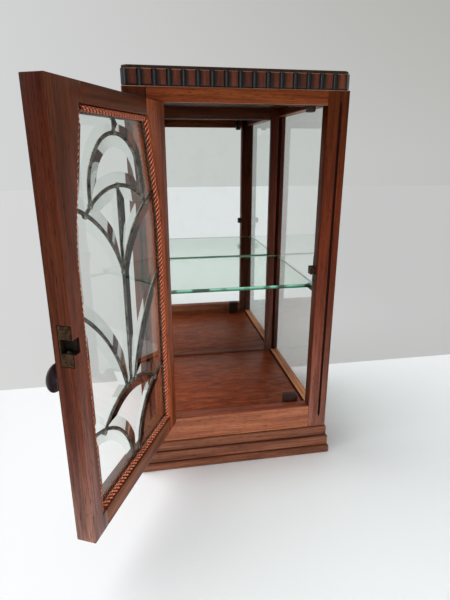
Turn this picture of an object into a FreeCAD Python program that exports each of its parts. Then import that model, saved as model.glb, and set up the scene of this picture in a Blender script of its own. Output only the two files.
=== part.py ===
import FreeCAD, Part
import math
import os
import re

V = FreeCAD.Vector
doc = FreeCAD.newDocument("DisplayCabinet")
sheet = doc.addObject("Spreadsheet::Sheet", "Sizes")

# Driving dimensions in millimetres, and the door's angle in degrees.
# The origin is the middle of the base: X to the right, Y to the back, Z up.
SIZES = [
    ("width", 300, "carcass over the posts, left to right"),
    ("depth", 300, "carcass over the posts, front to back"),
    ("post_top", 564.5, "top of the four posts above the table"),
    ("post_width", 30, "posts, left to right"),
    ("post_depth", 20, "posts, front to back"),
    ("plinth_height", 49, "stepped plinth, whole height"),
    ("plinth_low", 14, "height of its lowest step"),
    ("plinth_mid", 18, "height of its middle step"),
    ("plinth_reach", 2.5, "how far each step stands out past the one above"),
    ("plinth_thickness", 30, "plinth boards behind the posts' outer faces"),
    ("base_thickness", 8, "board that closes the plinth underneath"),
    ("sill_height", 39, "front rail under the door"),
    ("head_height", 19, "front and back rails over the opening"),
    ("side_sill_height", 18, "bottom rails at the sides and the back"),
    ("side_head_height", 13.5, "top rails at the sides"),
    ("side_rail_width", 18, "side rails, from outside to inside"),
    ("lip_width", 8, "side rails' lip outside the glass"),
    ("glass_rabbet", 6, "depth of the rails' rabbet for the side glass"),
    ("side_glass", 3, "thickness of the side glass"),
    ("glass_groove", 5, "depth of the grooves in the posts for the side glass"),
    ("glass_play", 0.3, "room round the panes of glass"),
    ("tenon_length", 12, "tenons of the front and back rails"),
    ("tenon_thickness", 8, "tenons of the front and back rails"),
    ("tenon_shoulder", 4, "shoulder above and below each tenon"),
    ("side_tenon_length", 10, "tenons of the side rails"),
    ("side_tenon_width", 7, "tenons of the side rails"),
    ("side_tenon_height", 6, "tenons of the side rails"),
    ("fit", 0.1, "room in glued wood joints and let-in metal"),
    ("groove_width", 3, "stopped groove down each front post"),
    ("groove_depth", 1.5, "stopped groove down each front post"),
    ("groove_place", 18, "its middle, from the post's inner edge"),
    ("groove_low", 16, "its lower end above the plinth"),
    ("groove_high", 11, "its upper end below the posts' top"),
    ("floor_thickness", 16, "floor board, which lies on the plinth"),
    ("ceiling_thickness", 10, "board over the compartment"),
    ("cornice_height", 20, "fluted cornice"),
    ("cornice_thickness", 12, "fluted cornice"),
    ("cornice_inset", 2, "cornice behind the posts' outer faces"),
    ("flute_count", 15, "flutes along each side of the cornice"),
    ("flute_radius", 3.5, "curve of a flute"),
    ("flute_depth", 2.2, "depth of a flute"),
    ("flute_stop", 3, "plain band above and below the flutes"),
    ("top_thickness", 3.5, "thin top board"),
    ("mirror_setback", 6, "mirror behind the back frame's front faces"),
    ("mirror_thickness", 4, "mirror at the back"),
    ("back_rabbet", 6, "width of the back frame's rabbet"),
    ("back_thickness", 5, "backing board behind the mirror"),
    ("shelf_level", 281, "upper face of the glass shelf"),
    ("shelf_thickness", 6, "glass shelf"),
    ("shelf_setback", 58, "its front edge behind the cabinet's front"),
    ("shelf_room", 0.6, "room between the shelf and its neighbours"),
    ("pin_radius", 2.5, "brass shelf pins"),
    ("pin_sunk", 10, "their length inside the posts"),
    ("pin_under", 14, "their length under the shelf"),
    ("front_pin_place", 4.4, "middle of the front pins inside the side glass"),
    ("rear_pin_place", 10, "middle of the rear pins inside the side glass"),
    ("stop_width", 22, "door stop blocks"),
    ("stop_depth", 16, "door stop blocks"),
    ("stop_low_place", 12, "lower block, from the right post's inner face"),
    ("stop_low_rise", 8, "lower block above the sill"),
    ("stop_high_place", 0.5, "upper block, from the right post's inner face"),
    ("stop_high_drop", 6, "upper block below the front head rail"),
    ("stop_gap", 0.3, "between a block and the shut door"),
    ("door_open", 115, "how far the door stands open"),
    ("door_thickness", 22.5, "door frame"),
    ("hinge_gap", 0.75, "between the shut door and the left post"),
    ("lock_gap", 1.5, "between the shut door and the right post"),
    ("door_gap", 1.5, "above and below the shut door"),
    ("stile_width", 27.5, "door stiles on the outer face"),
    ("door_head", 26, "door's top rail on the outer face"),
    ("door_foot", 29, "door's bottom rail on the outer face"),
    ("taper", 24.5, "how much each stile widens to the top"),
    ("taper_height", 113, "height over which it widens"),
    ("bend_radius", 250, "bend where the widening starts"),
    ("door_lip", 11, "lip outside the leaded glass"),
    ("door_rabbet", 8, "width of the rabbet for the leaded glass"),
    ("door_tenon_length", 14, "tenons of the door's rails"),
    ("door_tenon_thickness", 6, "tenons of the door's rails"),
    ("door_tenon_inset", 3, "tenon behind the outer face"),
    ("door_tenon_shoulder", 4, "shoulder at a tenon's outer edge"),
    ("door_tenon_height", 11, "tenons of the door's rails"),
    ("came_height", 4.5, "lead cames, through the panel"),
    ("came_width", 5, "flanges of the cames"),
    ("came_flange", 0.8, "thickness of a flange"),
    ("came_web", 1.2, "web between two panes"),
    ("pane_play", 0.1, "between a pane and the flanges"),
    ("arch_radius", 56.5, "round arch at the top of the pattern"),
    ("arch_drop", 13.5, "its crown below the sight edge"),
    ("calyx_drop", 65.7, "crown of the arc below the arch"),
    ("calyx_reach", 67.5, "half the span of that arc"),
    ("calyx_rise", 24.3, "its rise"),
    ("leaf_drop", 77.6, "upper leaves at the sides, below the sight edge"),
    ("leaf_foot_drop", 159.7, "where the upper leaves meet the stem"),
    ("leaf_rise", 16.2, "bow of an upper leaf"),
    ("blade_drop", 176.8, "middle leaves at the sides, below the sight edge"),
    ("blade_rise", 13.3, "bow of a middle leaf"),
    ("blade_foot", 11, "foot of a middle leaf beside the stem"),
    ("root_height", 102.2, "crown of the lower arc above the sight edge"),
    ("root_reach", 68, "half the span of the lower arc"),
    ("root_rise", 28.2, "its rise"),
    ("frond_height", 82.2, "lower leaves at the sides, above the sight edge"),
    ("frond_rise", 26.8, "bow of a lower leaf"),
    ("frond_foot", 8.1, "foot of a lower leaf beside the middle"),
    ("cord_radius", 3, "cord that holds the panel in the rabbet"),
    ("cord_room", 0.3, "room round the cord"),
    ("knob_level", 275, "middle of the knob above the table"),
    ("knob_radius", 14.5, "turned knob"),
    ("knob_reach", 24.5, "how far it stands out"),
    ("knob_crown", 8.5, "half the thickness of its head"),
    ("knob_neck", 5.5, "neck under its head"),
    ("knob_foot", 8, "foot on the door"),
    ("knob_foot_height", 2.5, "foot on the door"),
    ("knob_spigot", 4, "spigot in the stile"),
    ("knob_spigot_length", 14, "spigot in the stile"),
    ("hinge_height", 50, "butt hinges"),
    ("hinge_place", 45, "from the door's ends to the hinges"),
    ("knuckle_radius", 3, "hinge knuckles"),
    ("pintle_radius", 1.5, "hinge pins"),
    ("pintle_play", 0.05, "hinge pins in their knuckles"),
    ("pin_ahead", 1, "hinge pin's axis in front of the door's face"),
    ("leaf_thickness", 1.5, "hinge leaves"),
    ("leaf_depth", 17, "hinge leaves, from the pin's axis"),
    ("leaf_screw_place", 10, "screws, from the pin's axis"),
    ("leaf_screw_pitch", 16, "screws, from one to the next"),
    ("swing_room", 0.3, "round parts that turn past each other"),
    ("screw_radius", 1.3, "screw shanks"),
    ("screw_head", 2.4, "screw heads"),
    ("screw_sink", 1.1, "depth of a countersunk head"),
    ("screw_length", 12, "screws, with their heads"),
    ("screw_room", 0.05, "round the screws"),
    ("catch_level", 316, "middle of the ball catch above the table"),
    ("catch_height", 40, "its brass case"),
    ("catch_width", 13.5, "its brass case"),
    ("catch_depth", 10, "its brass case"),
    ("catch_inset", 7, "case behind the door's outer face"),
    ("catch_slot", 14, "height of the slot between the balls"),
    ("catch_slot_depth", 8.2, "slot, from the door's edge"),
    ("catch_screw_place", 17.2, "screws above and below the middle"),
    ("ball_radius", 3, "catch balls"),
    ("ball_out", 2.2, "how far a ball stands into the slot"),
    ("ball_play", 0.05, "ball in its bore"),
    ("ball_place", 4.5, "bores, from the door's edge"),
    ("ball_bore", 8, "depth of a bore above the slot"),
    ("spring_radius", 2.1, "catch springs, to the middle of the wire"),
    ("spring_wire", 0.3, "radius of the spring wire"),
    ("spring_turns", 3, "turns of a spring"),
    ("spring_room", 0.2, "from a spring to what it bears on"),
    ("tongue_length", 8, "striker's tongue, out from the post"),
    ("tongue_width", 10, "striker's tongue, front to back"),
    ("tongue_height", 12, "striker's tongue"),
    ("tongue_room", 0.3, "between the tongue's waist and the balls"),
]
for row, (alias, number, note) in enumerate(SIZES, 1):
    sheet.set(f"A{row}", note)
    sheet.set(f"B{row}", str(number))
    sheet.setAlias(f"B{row}", alias)
doc.recompute()

ALIAS = re.compile(r"\b(" + "|".join(alias for alias, number, note in SIZES) + r")\b")
size = {alias: float(sheet.get(alias)) for alias, number, note in SIZES}
parts = []


def bind(item, prop, text):
    item.setExpression(prop, ALIAS.sub(r"Sizes.\1", text))


def placed(item, x, y, z):
    for axis, text in zip("xyz", (x, y, z)):
        bind(item, "Placement.Base." + axis, text)
    return item


def box(name, x, y, z):
    item = doc.addObject("Part::Box", name)
    for prop, (low, high) in zip(("Length", "Width", "Height"), (x, y, z)):
        bind(item, prop, f"({high}) - ({low})")
    return placed(item, x[0], y[0], z[0])


TURNS = {
    "+x": FreeCAD.Rotation(V(0, 1, 0), 90),
    "-x": FreeCAD.Rotation(V(0, 1, 0), -90),
    "+y": FreeCAD.Rotation(V(1, 0, 0), -90),
    "-y": FreeCAD.Rotation(V(1, 0, 0), 90),
    "+z": FreeCAD.Rotation(),
    "-z": FreeCAD.Rotation(V(1, 0, 0), 180),
}


def rod(name, way, start, radius, length):
    item = doc.addObject("Part::Cylinder", name)
    item.Placement = FreeCAD.Placement(V(), TURNS[way])
    bind(item, "Radius", radius)
    bind(item, "Height", length)
    return placed(item, *start)


def cone(name, way, start, first, last, length):
    item = doc.addObject("Part::Cone", name)
    item.Placement = FreeCAD.Placement(V(), TURNS[way])
    bind(item, "Radius1", first)
    bind(item, "Radius2", last)
    bind(item, "Height", length)
    return placed(item, *start)


def fuse(name, *items):
    item = doc.addObject("Part::MultiFuse", name)
    item.Shapes = list(items)
    return item


def cut(name, base, *tools):
    tool = tools[0] if len(tools) == 1 else fuse(name + "_tools", *tools)
    item = doc.addObject("Part::Cut", name)
    item.Base = base
    item.Tool = tool
    return item


def group(name, *items):
    item = doc.addObject("Part::Compound", name)
    item.Links = list(items)
    return item


def mirrored(name, source):
    item = doc.addObject("Part::Mirroring", name)
    item.Source = source
    item.Normal = V(1, 0, 0)
    return item


def solid(name, shape):
    item = doc.addObject("Part::Feature", name)
    item.Shape = shape
    return item


def keep(item):
    item.Label = item.Name
    parts.append(item)
    return item


# The door and its hinges are drawn about the hinge pin, with the door shut.
PIN_X = "(-width/2 + post_width + hinge_gap/2)"
PIN_Y = "(-depth/2 - pin_ahead)"


def keep_on_pin(item):
    placed(item, PIN_X, PIN_Y, "0")
    return keep(item)


def keep_on_door(item):
    item.Placement = FreeCAD.Placement(V(), FreeCAD.Rotation(V(0, 0, -1), 1))
    bind(item, "Placement.Rotation.Angle", "door_open")
    return keep_on_pin(item)


def screw(name, way, start):
    head = cone(name + "_head", way, start, "screw_head", "screw_radius", "screw_sink")
    shank = rod(name + "_shank", way, start, "screw_radius", "screw_length")
    return fuse(name, head, shank)


def screw_hole(name, way, start):
    wide = "screw_head + screw_room"
    slim = "screw_radius + screw_room"
    head = cone(name + "_sink", way, start, wide, slim, "screw_sink + screw_room")
    shank = rod(name + "_bore", way, start, slim, "screw_length + screw_room")
    return fuse(name, head, shank)


IN_X = "(width/2 - post_width)"
IN_Y = "(depth/2 - post_depth)"
SILL = "(plinth_height + sill_height)"
HEAD = "(post_top - head_height)"
SIDE_SILL = "(plinth_height + side_sill_height)"
SIDE_HEAD = "(post_top - side_head_height)"
GLASS_OUT = "(width/2 - lip_width)"
GLASS_IN = "(width/2 - lip_width - side_glass)"
RAIL_IN = "(width/2 - side_rail_width)"
MIRROR_Y = "(depth/2 - post_depth + mirror_setback)"

# Plinth: front and sides stepped and mitred, back plain.
plinth_steps = [
    ("low", "0", "plinth_low", "3*plinth_reach"),
    ("mid", "plinth_low", "plinth_low + plinth_mid", "2*plinth_reach"),
    ("top", "plinth_low + plinth_mid", "plinth_height", "plinth_reach"),
]
PLINTH_X = "(width/2 - plinth_thickness)"
PLINTH_Y = "(depth/2 - plinth_thickness)"


def mitred_bar(name, outer, inner, low, high):
    """Bar across the front: outer and inner are its half lengths and faces."""
    item = doc.addObject("Part::Wedge", name)
    ends = {"Xmin": f"-({outer[0]})", "Xmax": outer[0], "X2min": f"-({inner[0]})", "X2max": inner[0]}
    sides = {"Ymin": f"-({outer[1]})", "Ymax": f"-({inner[1]})"}
    levels = {"Zmin": low, "Zmax": high, "Z2min": low, "Z2max": high}
    for prop, text in {**ends, **sides, **levels}.items():
        bind(item, prop, text)
    return item


def mitred_return(name, outer, inner, back, low, high):
    """Bar along the right side, mitred at the front and square at the back."""
    item = doc.addObject("Part::Wedge", name)
    ends = {"Xmin": f"-({outer[1]})", "Xmax": back, "X2min": f"-({inner[1]})", "X2max": back}
    sides = {"Ymin": f"-({outer[0]})", "Ymax": f"-({inner[0]})"}
    levels = {"Zmin": low, "Zmax": high, "Z2min": low, "Z2max": high}
    for prop, text in {**ends, **sides, **levels}.items():
        bind(item, prop, text)
    item.Placement = FreeCAD.Placement(V(), FreeCAD.Rotation(V(0, 0, 1), 90))
    return item


front_steps = []
right_steps = []
for step, low, high, reach in plinth_steps:
    outer = (f"width/2 + {reach}", f"depth/2 + {reach}")
    inner = (PLINTH_X, PLINTH_Y)
    front_steps.append(mitred_bar(f"front_step_{step}", outer, inner, low, high))
    right_steps.append(mitred_return(f"right_step_{step}", outer, inner, "depth/2", low, high))
keep(fuse("plinth_front", *front_steps))
plinth_right = keep(fuse("plinth_right", *right_steps))
keep(mirrored("plinth_left", plinth_right))
keep(box("plinth_back", (f"-{PLINTH_X}", PLINTH_X), (PLINTH_Y, "depth/2"), ("0", "plinth_height")))

keep(box(
    "base_board",
    (f"-{PLINTH_X} + fit", f"{PLINTH_X} - fit"),
    (f"-{PLINTH_Y} + fit", f"{PLINTH_Y} - fit"),
    ("0", "base_thickness"),
))

# Rails across the front and the back, with a tenon at each end.
TENON_X = f"({IN_X} + tenon_length)"


def tenon_bar(name, y, z, room):
    reach = f"({TENON_X} + {room})"
    middle = f"({y[0]} + {y[1]})/2"
    thick = (f"{middle} - tenon_thickness/2 - {room}", f"{middle} + tenon_thickness/2 + {room}")
    tall = (f"{z[0]} + tenon_shoulder - {room}", f"{z[1]} - tenon_shoulder + {room}")
    return box(name, (f"-{reach}", reach), thick, tall)


FRONT_Y = ("-depth/2", f"-{IN_Y}")
BACK_Y = (IN_Y, "depth/2")
SILL_Z = ("plinth_height", SILL)
HEAD_Z = (HEAD, "post_top")
ACROSS = (f"-{IN_X}", IN_X)
front_mortises = []
for name, z in (("front_sill", SILL_Z), ("front_head", HEAD_Z)):
    bar = box(name + "_bar", ACROSS, FRONT_Y, z)
    keep(fuse(name, bar, tenon_bar(name + "_tenon", FRONT_Y, z, "0")))
    front_mortises.append(tenon_bar(name + "_mortise", FRONT_Y, z, "fit"))

# The back rails lie behind the mirror's rabbet where they meet it.
back_mortises = []
back_levels = [
    ("back_sill", ("plinth_height", SIDE_SILL), ("plinth_height", f"{SIDE_SILL} - back_rabbet")),
    ("back_head", HEAD_Z, (f"{HEAD} + back_rabbet", "post_top")),
]
MIRROR_Z = (f"{SIDE_SILL} - back_rabbet", f"{HEAD} + back_rabbet")
MIRROR_X = f"({IN_X} + back_rabbet)"
rabbet = box("back_rabbet_room", (f"-{MIRROR_X}", MIRROR_X), (MIRROR_Y, "depth/2 + fit"), MIRROR_Z)
for name, z, tenon_z in back_levels:
    bar = cut(name + "_bar", box(name + "_blank", ACROSS, BACK_Y, z), rabbet)
    keep(fuse(name, bar, tenon_bar(name + "_tenon", BACK_Y, tenon_z, "0")))
    back_mortises.append(tenon_bar(name + "_mortise", BACK_Y, tenon_z, "fit"))

# Side rails: a lip outside the glass, a rabbet and a loose bead inside it.
SIDE_Y = (f"-{IN_Y}", IN_Y)
side_levels = [
    ("sill", ("plinth_height", SIDE_SILL), (f"{SIDE_SILL} - glass_rabbet", SIDE_SILL)),
    ("head", (SIDE_HEAD, "post_top"), (SIDE_HEAD, f"{SIDE_HEAD} + glass_rabbet")),
]
TENON_IN = f"({RAIL_IN} + tenon_shoulder/2)"
SIDE_REACH = f"({IN_Y} + side_tenon_length)"
side_mortises = []
right_beads = []
for level, z, rabbet_z in side_levels:
    blank = box(f"side_{level}_blank", (RAIL_IN, "width/2"), SIDE_Y, z)
    bed = box(f"side_{level}_bed", (RAIL_IN, GLASS_OUT), SIDE_Y, rabbet_z)
    body_z = (z[0], rabbet_z[0]) if level == "sill" else (rabbet_z[1], z[1])
    middle = f"({body_z[0]} + {body_z[1]})/2"
    tenon = box(
        f"side_{level}_tenon",
        (TENON_IN, f"{TENON_IN} + side_tenon_width"),
        (f"-{SIDE_REACH}", SIDE_REACH),
        (f"{middle} - side_tenon_height/2", f"{middle} + side_tenon_height/2"),
    )
    rail = keep(fuse(f"right_side_{level}", cut(f"side_{level}_bar", blank, bed), tenon))
    keep(mirrored(f"left_side_{level}", rail))
    side_mortises.append(box(
        f"side_{level}_mortise",
        (f"{TENON_IN} - fit", f"{TENON_IN} + side_tenon_width + fit"),
        (f"-{SIDE_REACH} - fit", f"{SIDE_REACH} + fit"),
        (f"{middle} - side_tenon_height/2 - fit", f"{middle} + side_tenon_height/2 + fit"),
    ))
    bead_y = (f"-{IN_Y} + fit", f"{IN_Y} - fit")
    bead_x = (RAIL_IN, f"{GLASS_IN} - glass_play")
    right_beads.append(box(f"side_{level}_bead", bead_x, bead_y, rabbet_z))
right_glazing_beads = keep(group("right_glazing_beads", *right_beads))
keep(mirrored("left_glazing_beads", right_glazing_beads))

# Side glass, let into a groove in each post.
PANE_Z = (f"{SIDE_SILL} - glass_rabbet", f"{SIDE_HEAD} + glass_rabbet")
GLASS_REACH = f"({IN_Y} + glass_groove)"
right_side_glass = keep(box(
    "right_side_glass",
    (GLASS_IN, f"{GLASS_OUT} - glass_play/2"),
    (f"-{GLASS_REACH} + glass_play", f"{GLASS_REACH} - glass_play"),
    (PANE_Z[0], f"{PANE_Z[1]} - glass_play"),
))
keep(mirrored("left_side_glass", right_side_glass))
glass_groove = box(
    "glass_groove_room",
    (f"{GLASS_IN} - glass_play/2", GLASS_OUT),
    (f"-{GLASS_REACH}", GLASS_REACH),
    PANE_Z,
)

# Hinges: five knuckles each, three on the post's leaf and two on the door's.
DOOR_LOW = f"({SILL} + door_gap)"
DOOR_HIGH = f"({HEAD} - door_gap)"
HINGES = [
    ("lower", f"({DOOR_LOW} + hinge_place)"),
    ("upper", f"({DOOR_HIGH} - hinge_place - hinge_height)"),
]
LEAF_FACE = "hinge_gap/2"
KNUCKLES = 5
post_hinge_screws = []
door_hinge_screws = []
post_hinge_room = []
door_hinge_room = []
for place, foot in HINGES:
    top = f"({foot} + hinge_height)"
    bore = rod(f"{place}_knuckle_bore", "+z", ("0", "0", foot), "pintle_radius + pintle_play", "hinge_height")
    knuckles = {"post": [], "door": []}
    clear = {"post": [], "door": []}
    for count in range(KNUCKLES):
        owner, other = ("post", "door") if count % 2 == 0 else ("door", "post")
        low = f"({foot} + {count}*hinge_height/{KNUCKLES})"
        tall = f"hinge_height/{KNUCKLES}"
        name = f"{place}_knuckle_{count}"
        start = ("0", "0", f"{low} + fit/2")
        knuckles[owner].append(rod(name, "+z", start, "knuckle_radius", f"{tall} - fit"))
        room = ("0", "0", f"{low} - fit/2")
        clear[other].append(rod(name + "_room", "+z", room, "knuckle_radius + swing_room", f"{tall} + fit"))
    gain = rod(
        f"{place}_hinge_gain", "+z", ("0", "0", f"{foot} - fit"),
        "knuckle_radius + swing_room", "hinge_height + 2*fit",
    )
    for owner, sign, way in (("post", "-", "-x"), ("door", "", "+x")):
        face = f"{sign}{LEAF_FACE}"
        deep = f"{sign}({LEAF_FACE} + leaf_thickness)"
        span = (deep, face) if owner == "post" else (face, deep)
        plate = box(f"{place}_{owner}_plate", span, ("0", "leaf_depth"), (foot, top))
        plate_part = cut(f"{place}_{owner}_plate_cut", plate, *clear[owner])
        leaf = fuse(f"{place}_{owner}_leaf_whole", plate_part, *knuckles[owner])
        holes = []
        for number in (-1, 0, 1):
            level = f"{foot} + hinge_height/2 + {number}*leaf_screw_pitch"
            start = (face, "leaf_screw_place", level)
            tag = f"{place}_{owner}_{number + 1}"
            holes.append(screw_hole(f"leaf_hole_{tag}", way, start))
            made = screw(f"leaf_screw_{tag}", way, start)
            (post_hinge_screws if owner == "post" else door_hinge_screws).append(made)
        finished = cut(f"hinge_{owner}_leaf_{place}", leaf, bore, *holes)
        pocket = f"{sign}({LEAF_FACE} + leaf_thickness + fit)"
        pocket_x = (pocket, "0") if owner == "post" else ("0", pocket)
        room = box(
            f"{place}_{owner}_pocket", pocket_x,
            ("0", "leaf_depth + fit"), (f"{foot} - fit", f"{top} + fit"),
        )
        if owner == "post":
            keep_on_pin(finished)
            post_hinge_room.extend([room, gain, *holes])
        else:
            keep_on_door(finished)
            door_hinge_room.extend([room, gain, *holes])
    keep_on_pin(rod(f"hinge_pin_{place}", "+z", ("0", "0", foot), "pintle_radius", "hinge_height"))
    bind(doc.getObject(f"hinge_pin_{place}"), "Placement.Base.z", foot)
keep_on_pin(group("hinge_post_screws", *post_hinge_screws))
keep_on_door(group("hinge_door_screws", *door_hinge_screws))
post_hinge_pocket = placed(fuse("post_hinge_pocket", *post_hinge_room), PIN_X, PIN_Y, "0")

# Striker on the right post: a let-in plate with a waisted tongue for the balls.
CATCH_MIDDLE = "(-depth/2 + catch_inset + catch_width/2)"
BALL_RISE = "(catch_slot/2 + ball_radius - ball_out)"
plate_y = (f"{CATCH_MIDDLE} - catch_width/2", f"{CATCH_MIDDLE} + catch_width/2")
plate_z = ("catch_level - catch_height/2", "catch_level + catch_height/2")
plate = box("striker_plate", (IN_X, f"{IN_X} + leaf_thickness"), plate_y, plate_z)
tongue = box(
    "striker_tongue",
    (f"{IN_X} - tongue_length", IN_X),
    (f"{CATCH_MIDDLE} - tongue_width/2", f"{CATCH_MIDDLE} + tongue_width/2"),
    ("catch_level - tongue_height/2", "catch_level + tongue_height/2"),
)
waists = []
striker_holes = []
striker_screws = []
for sign in "+-":
    start = (f"{IN_X} - tongue_length", CATCH_MIDDLE, f"catch_level {sign} {BALL_RISE}")
    name = f"tongue_waist_{len(waists)}"
    waists.append(rod(name, "+x", start, "ball_radius + tongue_room", "tongue_length"))
    start = (IN_X, CATCH_MIDDLE, f"catch_level {sign} (catch_height/2 - 2*screw_head)")
    striker_holes.append(screw_hole(f"striker_hole_{len(striker_holes)}", "+x", start))
    striker_screws.append(screw(f"striker_screw_{len(striker_screws)}", "+x", start))
waisted = cut("striker_waisted", tongue, *waists)
keep(cut("striker", fuse("striker_whole", plate, waisted), *striker_holes))
keep(group("striker_screw_pair", *striker_screws))
striker_room = box(
    "striker_pocket",
    (f"{IN_X} - fit", f"{IN_X} + leaf_thickness + fit"),
    (f"{plate_y[0]} - fit", f"{plate_y[1]} + fit"),
    (f"{plate_z[0]} - fit", f"{plate_z[1]} + fit"),
)

# Shelf pins, pressed into the posts under the shelf's four corners.
SHELF_LOW = "(shelf_level - shelf_thickness)"
SHELF_FRONT = "(-depth/2 + shelf_setback)"
FRONT_PIN_X = f"({GLASS_IN} - front_pin_place)"
REAR_PIN_X = f"({GLASS_IN} - rear_pin_place)"
pin_level = f"{SHELF_LOW} - pin_radius"
front_pin = rod(
    "front_pin", "+y", (FRONT_PIN_X, f"-{IN_Y} - pin_sunk", pin_level),
    "pin_radius", f"pin_sunk + {IN_Y} + {SHELF_FRONT} + pin_under",
)
rear_pin = rod(
    "rear_pin", "-y", (REAR_PIN_X, f"{IN_Y} + pin_sunk", pin_level),
    "pin_radius", "pin_sunk + pin_under",
)
right_pins = group("right_pins", front_pin, rear_pin)
keep(group("shelf_pins", right_pins, mirrored("left_pins", right_pins)))
front_pin_hole = rod(
    "front_pin_hole", "+y", (FRONT_PIN_X, f"-{IN_Y} - pin_sunk - fit", pin_level),
    "pin_radius + screw_room", "pin_sunk + 2*fit",
)
rear_pin_hole = rod(
    "rear_pin_hole", "-y", (REAR_PIN_X, f"{IN_Y} + pin_sunk + fit", pin_level),
    "pin_radius + screw_room", "pin_sunk + 2*fit",
)

# Posts: the front ones have a stopped groove down the face.
POST_X = (IN_X, "width/2")
POST_Z = ("plinth_height", "post_top")
groove = box(
    "post_groove",
    (f"{IN_X} + groove_place - groove_width/2", f"{IN_X} + groove_place + groove_width/2"),
    ("-depth/2 - fit", "-depth/2 + groove_depth"),
    ("plinth_height + groove_low", "post_top - groove_high"),
)
front_post = cut(
    "front_post", box("front_post_blank", POST_X, FRONT_Y, POST_Z),
    groove, glass_groove, front_pin_hole, *front_mortises, *side_mortises,
)
keep(cut("front_right_post", front_post, striker_room, *striker_holes))
keep(cut("front_left_post", mirrored("front_left_blank", front_post), post_hinge_pocket))
rear_right_post = keep(cut(
    "rear_right_post", box("rear_post_blank", POST_X, BACK_Y, POST_Z),
    rabbet, glass_groove, rear_pin_hole, *back_mortises, *side_mortises,
))
keep(mirrored("rear_left_post", rear_right_post))

# Floor, ceiling, cornice and top board.
FLOOR = "(plinth_height + floor_thickness)"
keep(box(
    "floor_board",
    (f"-{RAIL_IN} + fit", f"{RAIL_IN} - fit"),
    (f"-{IN_Y} + fit", f"{IN_Y} - fit"),
    ("plinth_height", FLOOR),
))
CORNICE_X = "(width/2 - cornice_inset)"
CORNICE_Y = "(depth/2 - cornice_inset)"
CORNICE_IN_X = f"({CORNICE_X} - cornice_thickness)"
CORNICE_IN_Y = f"({CORNICE_Y} - cornice_thickness)"
CORNICE_TOP = "(post_top + cornice_height)"
keep(box(
    "ceiling_board",
    (f"-{CORNICE_IN_X} + fit", f"{CORNICE_IN_X} - fit"),
    (f"-{CORNICE_IN_Y} + fit", f"{CORNICE_IN_Y} - fit"),
    ("post_top", "post_top + ceiling_thickness"),
))
cornice_out = (CORNICE_X, CORNICE_Y)
cornice_in = (CORNICE_IN_X, CORNICE_IN_Y)
cornice_bar = mitred_bar("cornice_bar", cornice_out, cornice_in, "post_top", CORNICE_TOP)
cornice_return = mitred_return(
    "cornice_return", cornice_out, cornice_in, CORNICE_IN_Y, "post_top", CORNICE_TOP,
)
front_flutes = []
side_flutes = []
flute_total = int(size["flute_count"])
FLUTE_OUT = "(flute_radius - flute_depth)"
FLUTE_TALL = "cornice_height - 2*flute_stop"
for count in range(flute_total):
    share = f"({2 * count + 2 - flute_total - 1}/(flute_count + 1))"
    start = (f"{CORNICE_X}*{share}", f"-{CORNICE_Y} - {FLUTE_OUT}", "post_top + flute_stop")
    front_flutes.append(rod(f"front_flute_{count}", "+z", start, "flute_radius", FLUTE_TALL))
    start = (f"{CORNICE_X} + {FLUTE_OUT}", f"{CORNICE_Y}*{share}", "post_top + flute_stop")
    side_flutes.append(rod(f"side_flute_{count}", "+z", start, "flute_radius", FLUTE_TALL))
keep(cut("cornice_front", cornice_bar, *front_flutes))
cornice_right = keep(cut("cornice_right", cornice_return, *side_flutes))
keep(mirrored("cornice_left", cornice_right))
keep(box(
    "cornice_back", (f"-{CORNICE_X}", CORNICE_X), (CORNICE_IN_Y, CORNICE_Y), ("post_top", CORNICE_TOP),
))
keep(box(
    "top_board", (f"-{CORNICE_X}", CORNICE_X), (f"-{CORNICE_Y}", CORNICE_Y),
    (CORNICE_TOP, f"{CORNICE_TOP} + top_thickness"),
))

# Mirror, backing board and the beads that hold them in the back frame.
mirror_x = (f"-{MIRROR_X} + glass_play", f"{MIRROR_X} - glass_play")
mirror_z = (MIRROR_Z[0], f"{MIRROR_Z[1]} - glass_play")
BACKING_Y = f"({MIRROR_Y} + mirror_thickness)"
BEAD_Y = f"({BACKING_Y} + back_thickness)"
keep(box("mirror", mirror_x, (MIRROR_Y, BACKING_Y), mirror_z))
keep(box("backing_board", mirror_x, (BACKING_Y, BEAD_Y), mirror_z))
side_bead = box(
    "back_bead_right", (IN_X, f"{MIRROR_X} - fit"), (BEAD_Y, "depth/2"),
    (f"{MIRROR_Z[0]} + back_rabbet", f"{MIRROR_Z[1]} - back_rabbet"),
)
low_bead = box(
    "back_bead_low", (f"-{MIRROR_X} + fit", f"{MIRROR_X} - fit"), (BEAD_Y, "depth/2"),
    (MIRROR_Z[0], f"{MIRROR_Z[0]} + back_rabbet"),
)
high_bead = box(
    "back_bead_high", (f"-{MIRROR_X} + fit", f"{MIRROR_X} - fit"), (BEAD_Y, "depth/2"),
    (f"{MIRROR_Z[1]} - back_rabbet", f"{MIRROR_Z[1]} - fit"),
)
keep(group("back_beads", side_bead, mirrored("back_bead_left", side_bead), low_bead, high_bead))

# Glass shelf on its pins.
keep(box(
    "glass_shelf",
    (f"-{GLASS_IN} + shelf_room", f"{GLASS_IN} - shelf_room"),
    (SHELF_FRONT, f"{IN_Y} - shelf_room"),
    (SHELF_LOW, "shelf_level"),
))

# Two blocks stop the shut door: one on the floor, one under the ceiling.
STOP_Y = "(-depth/2 + door_thickness + stop_gap)"
stop_y = (STOP_Y, f"{STOP_Y} + stop_depth")
keep(box(
    "lower_stop",
    (f"{IN_X} - stop_low_place - stop_width", f"{IN_X} - stop_low_place"),
    stop_y, (FLOOR, f"{SILL} + stop_low_rise"),
))
keep(box(
    "upper_stop",
    (f"{IN_X} - stop_high_place - stop_width", f"{IN_X} - stop_high_place"),
    stop_y, (f"{HEAD} - stop_high_drop", "post_top"),
))

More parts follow.
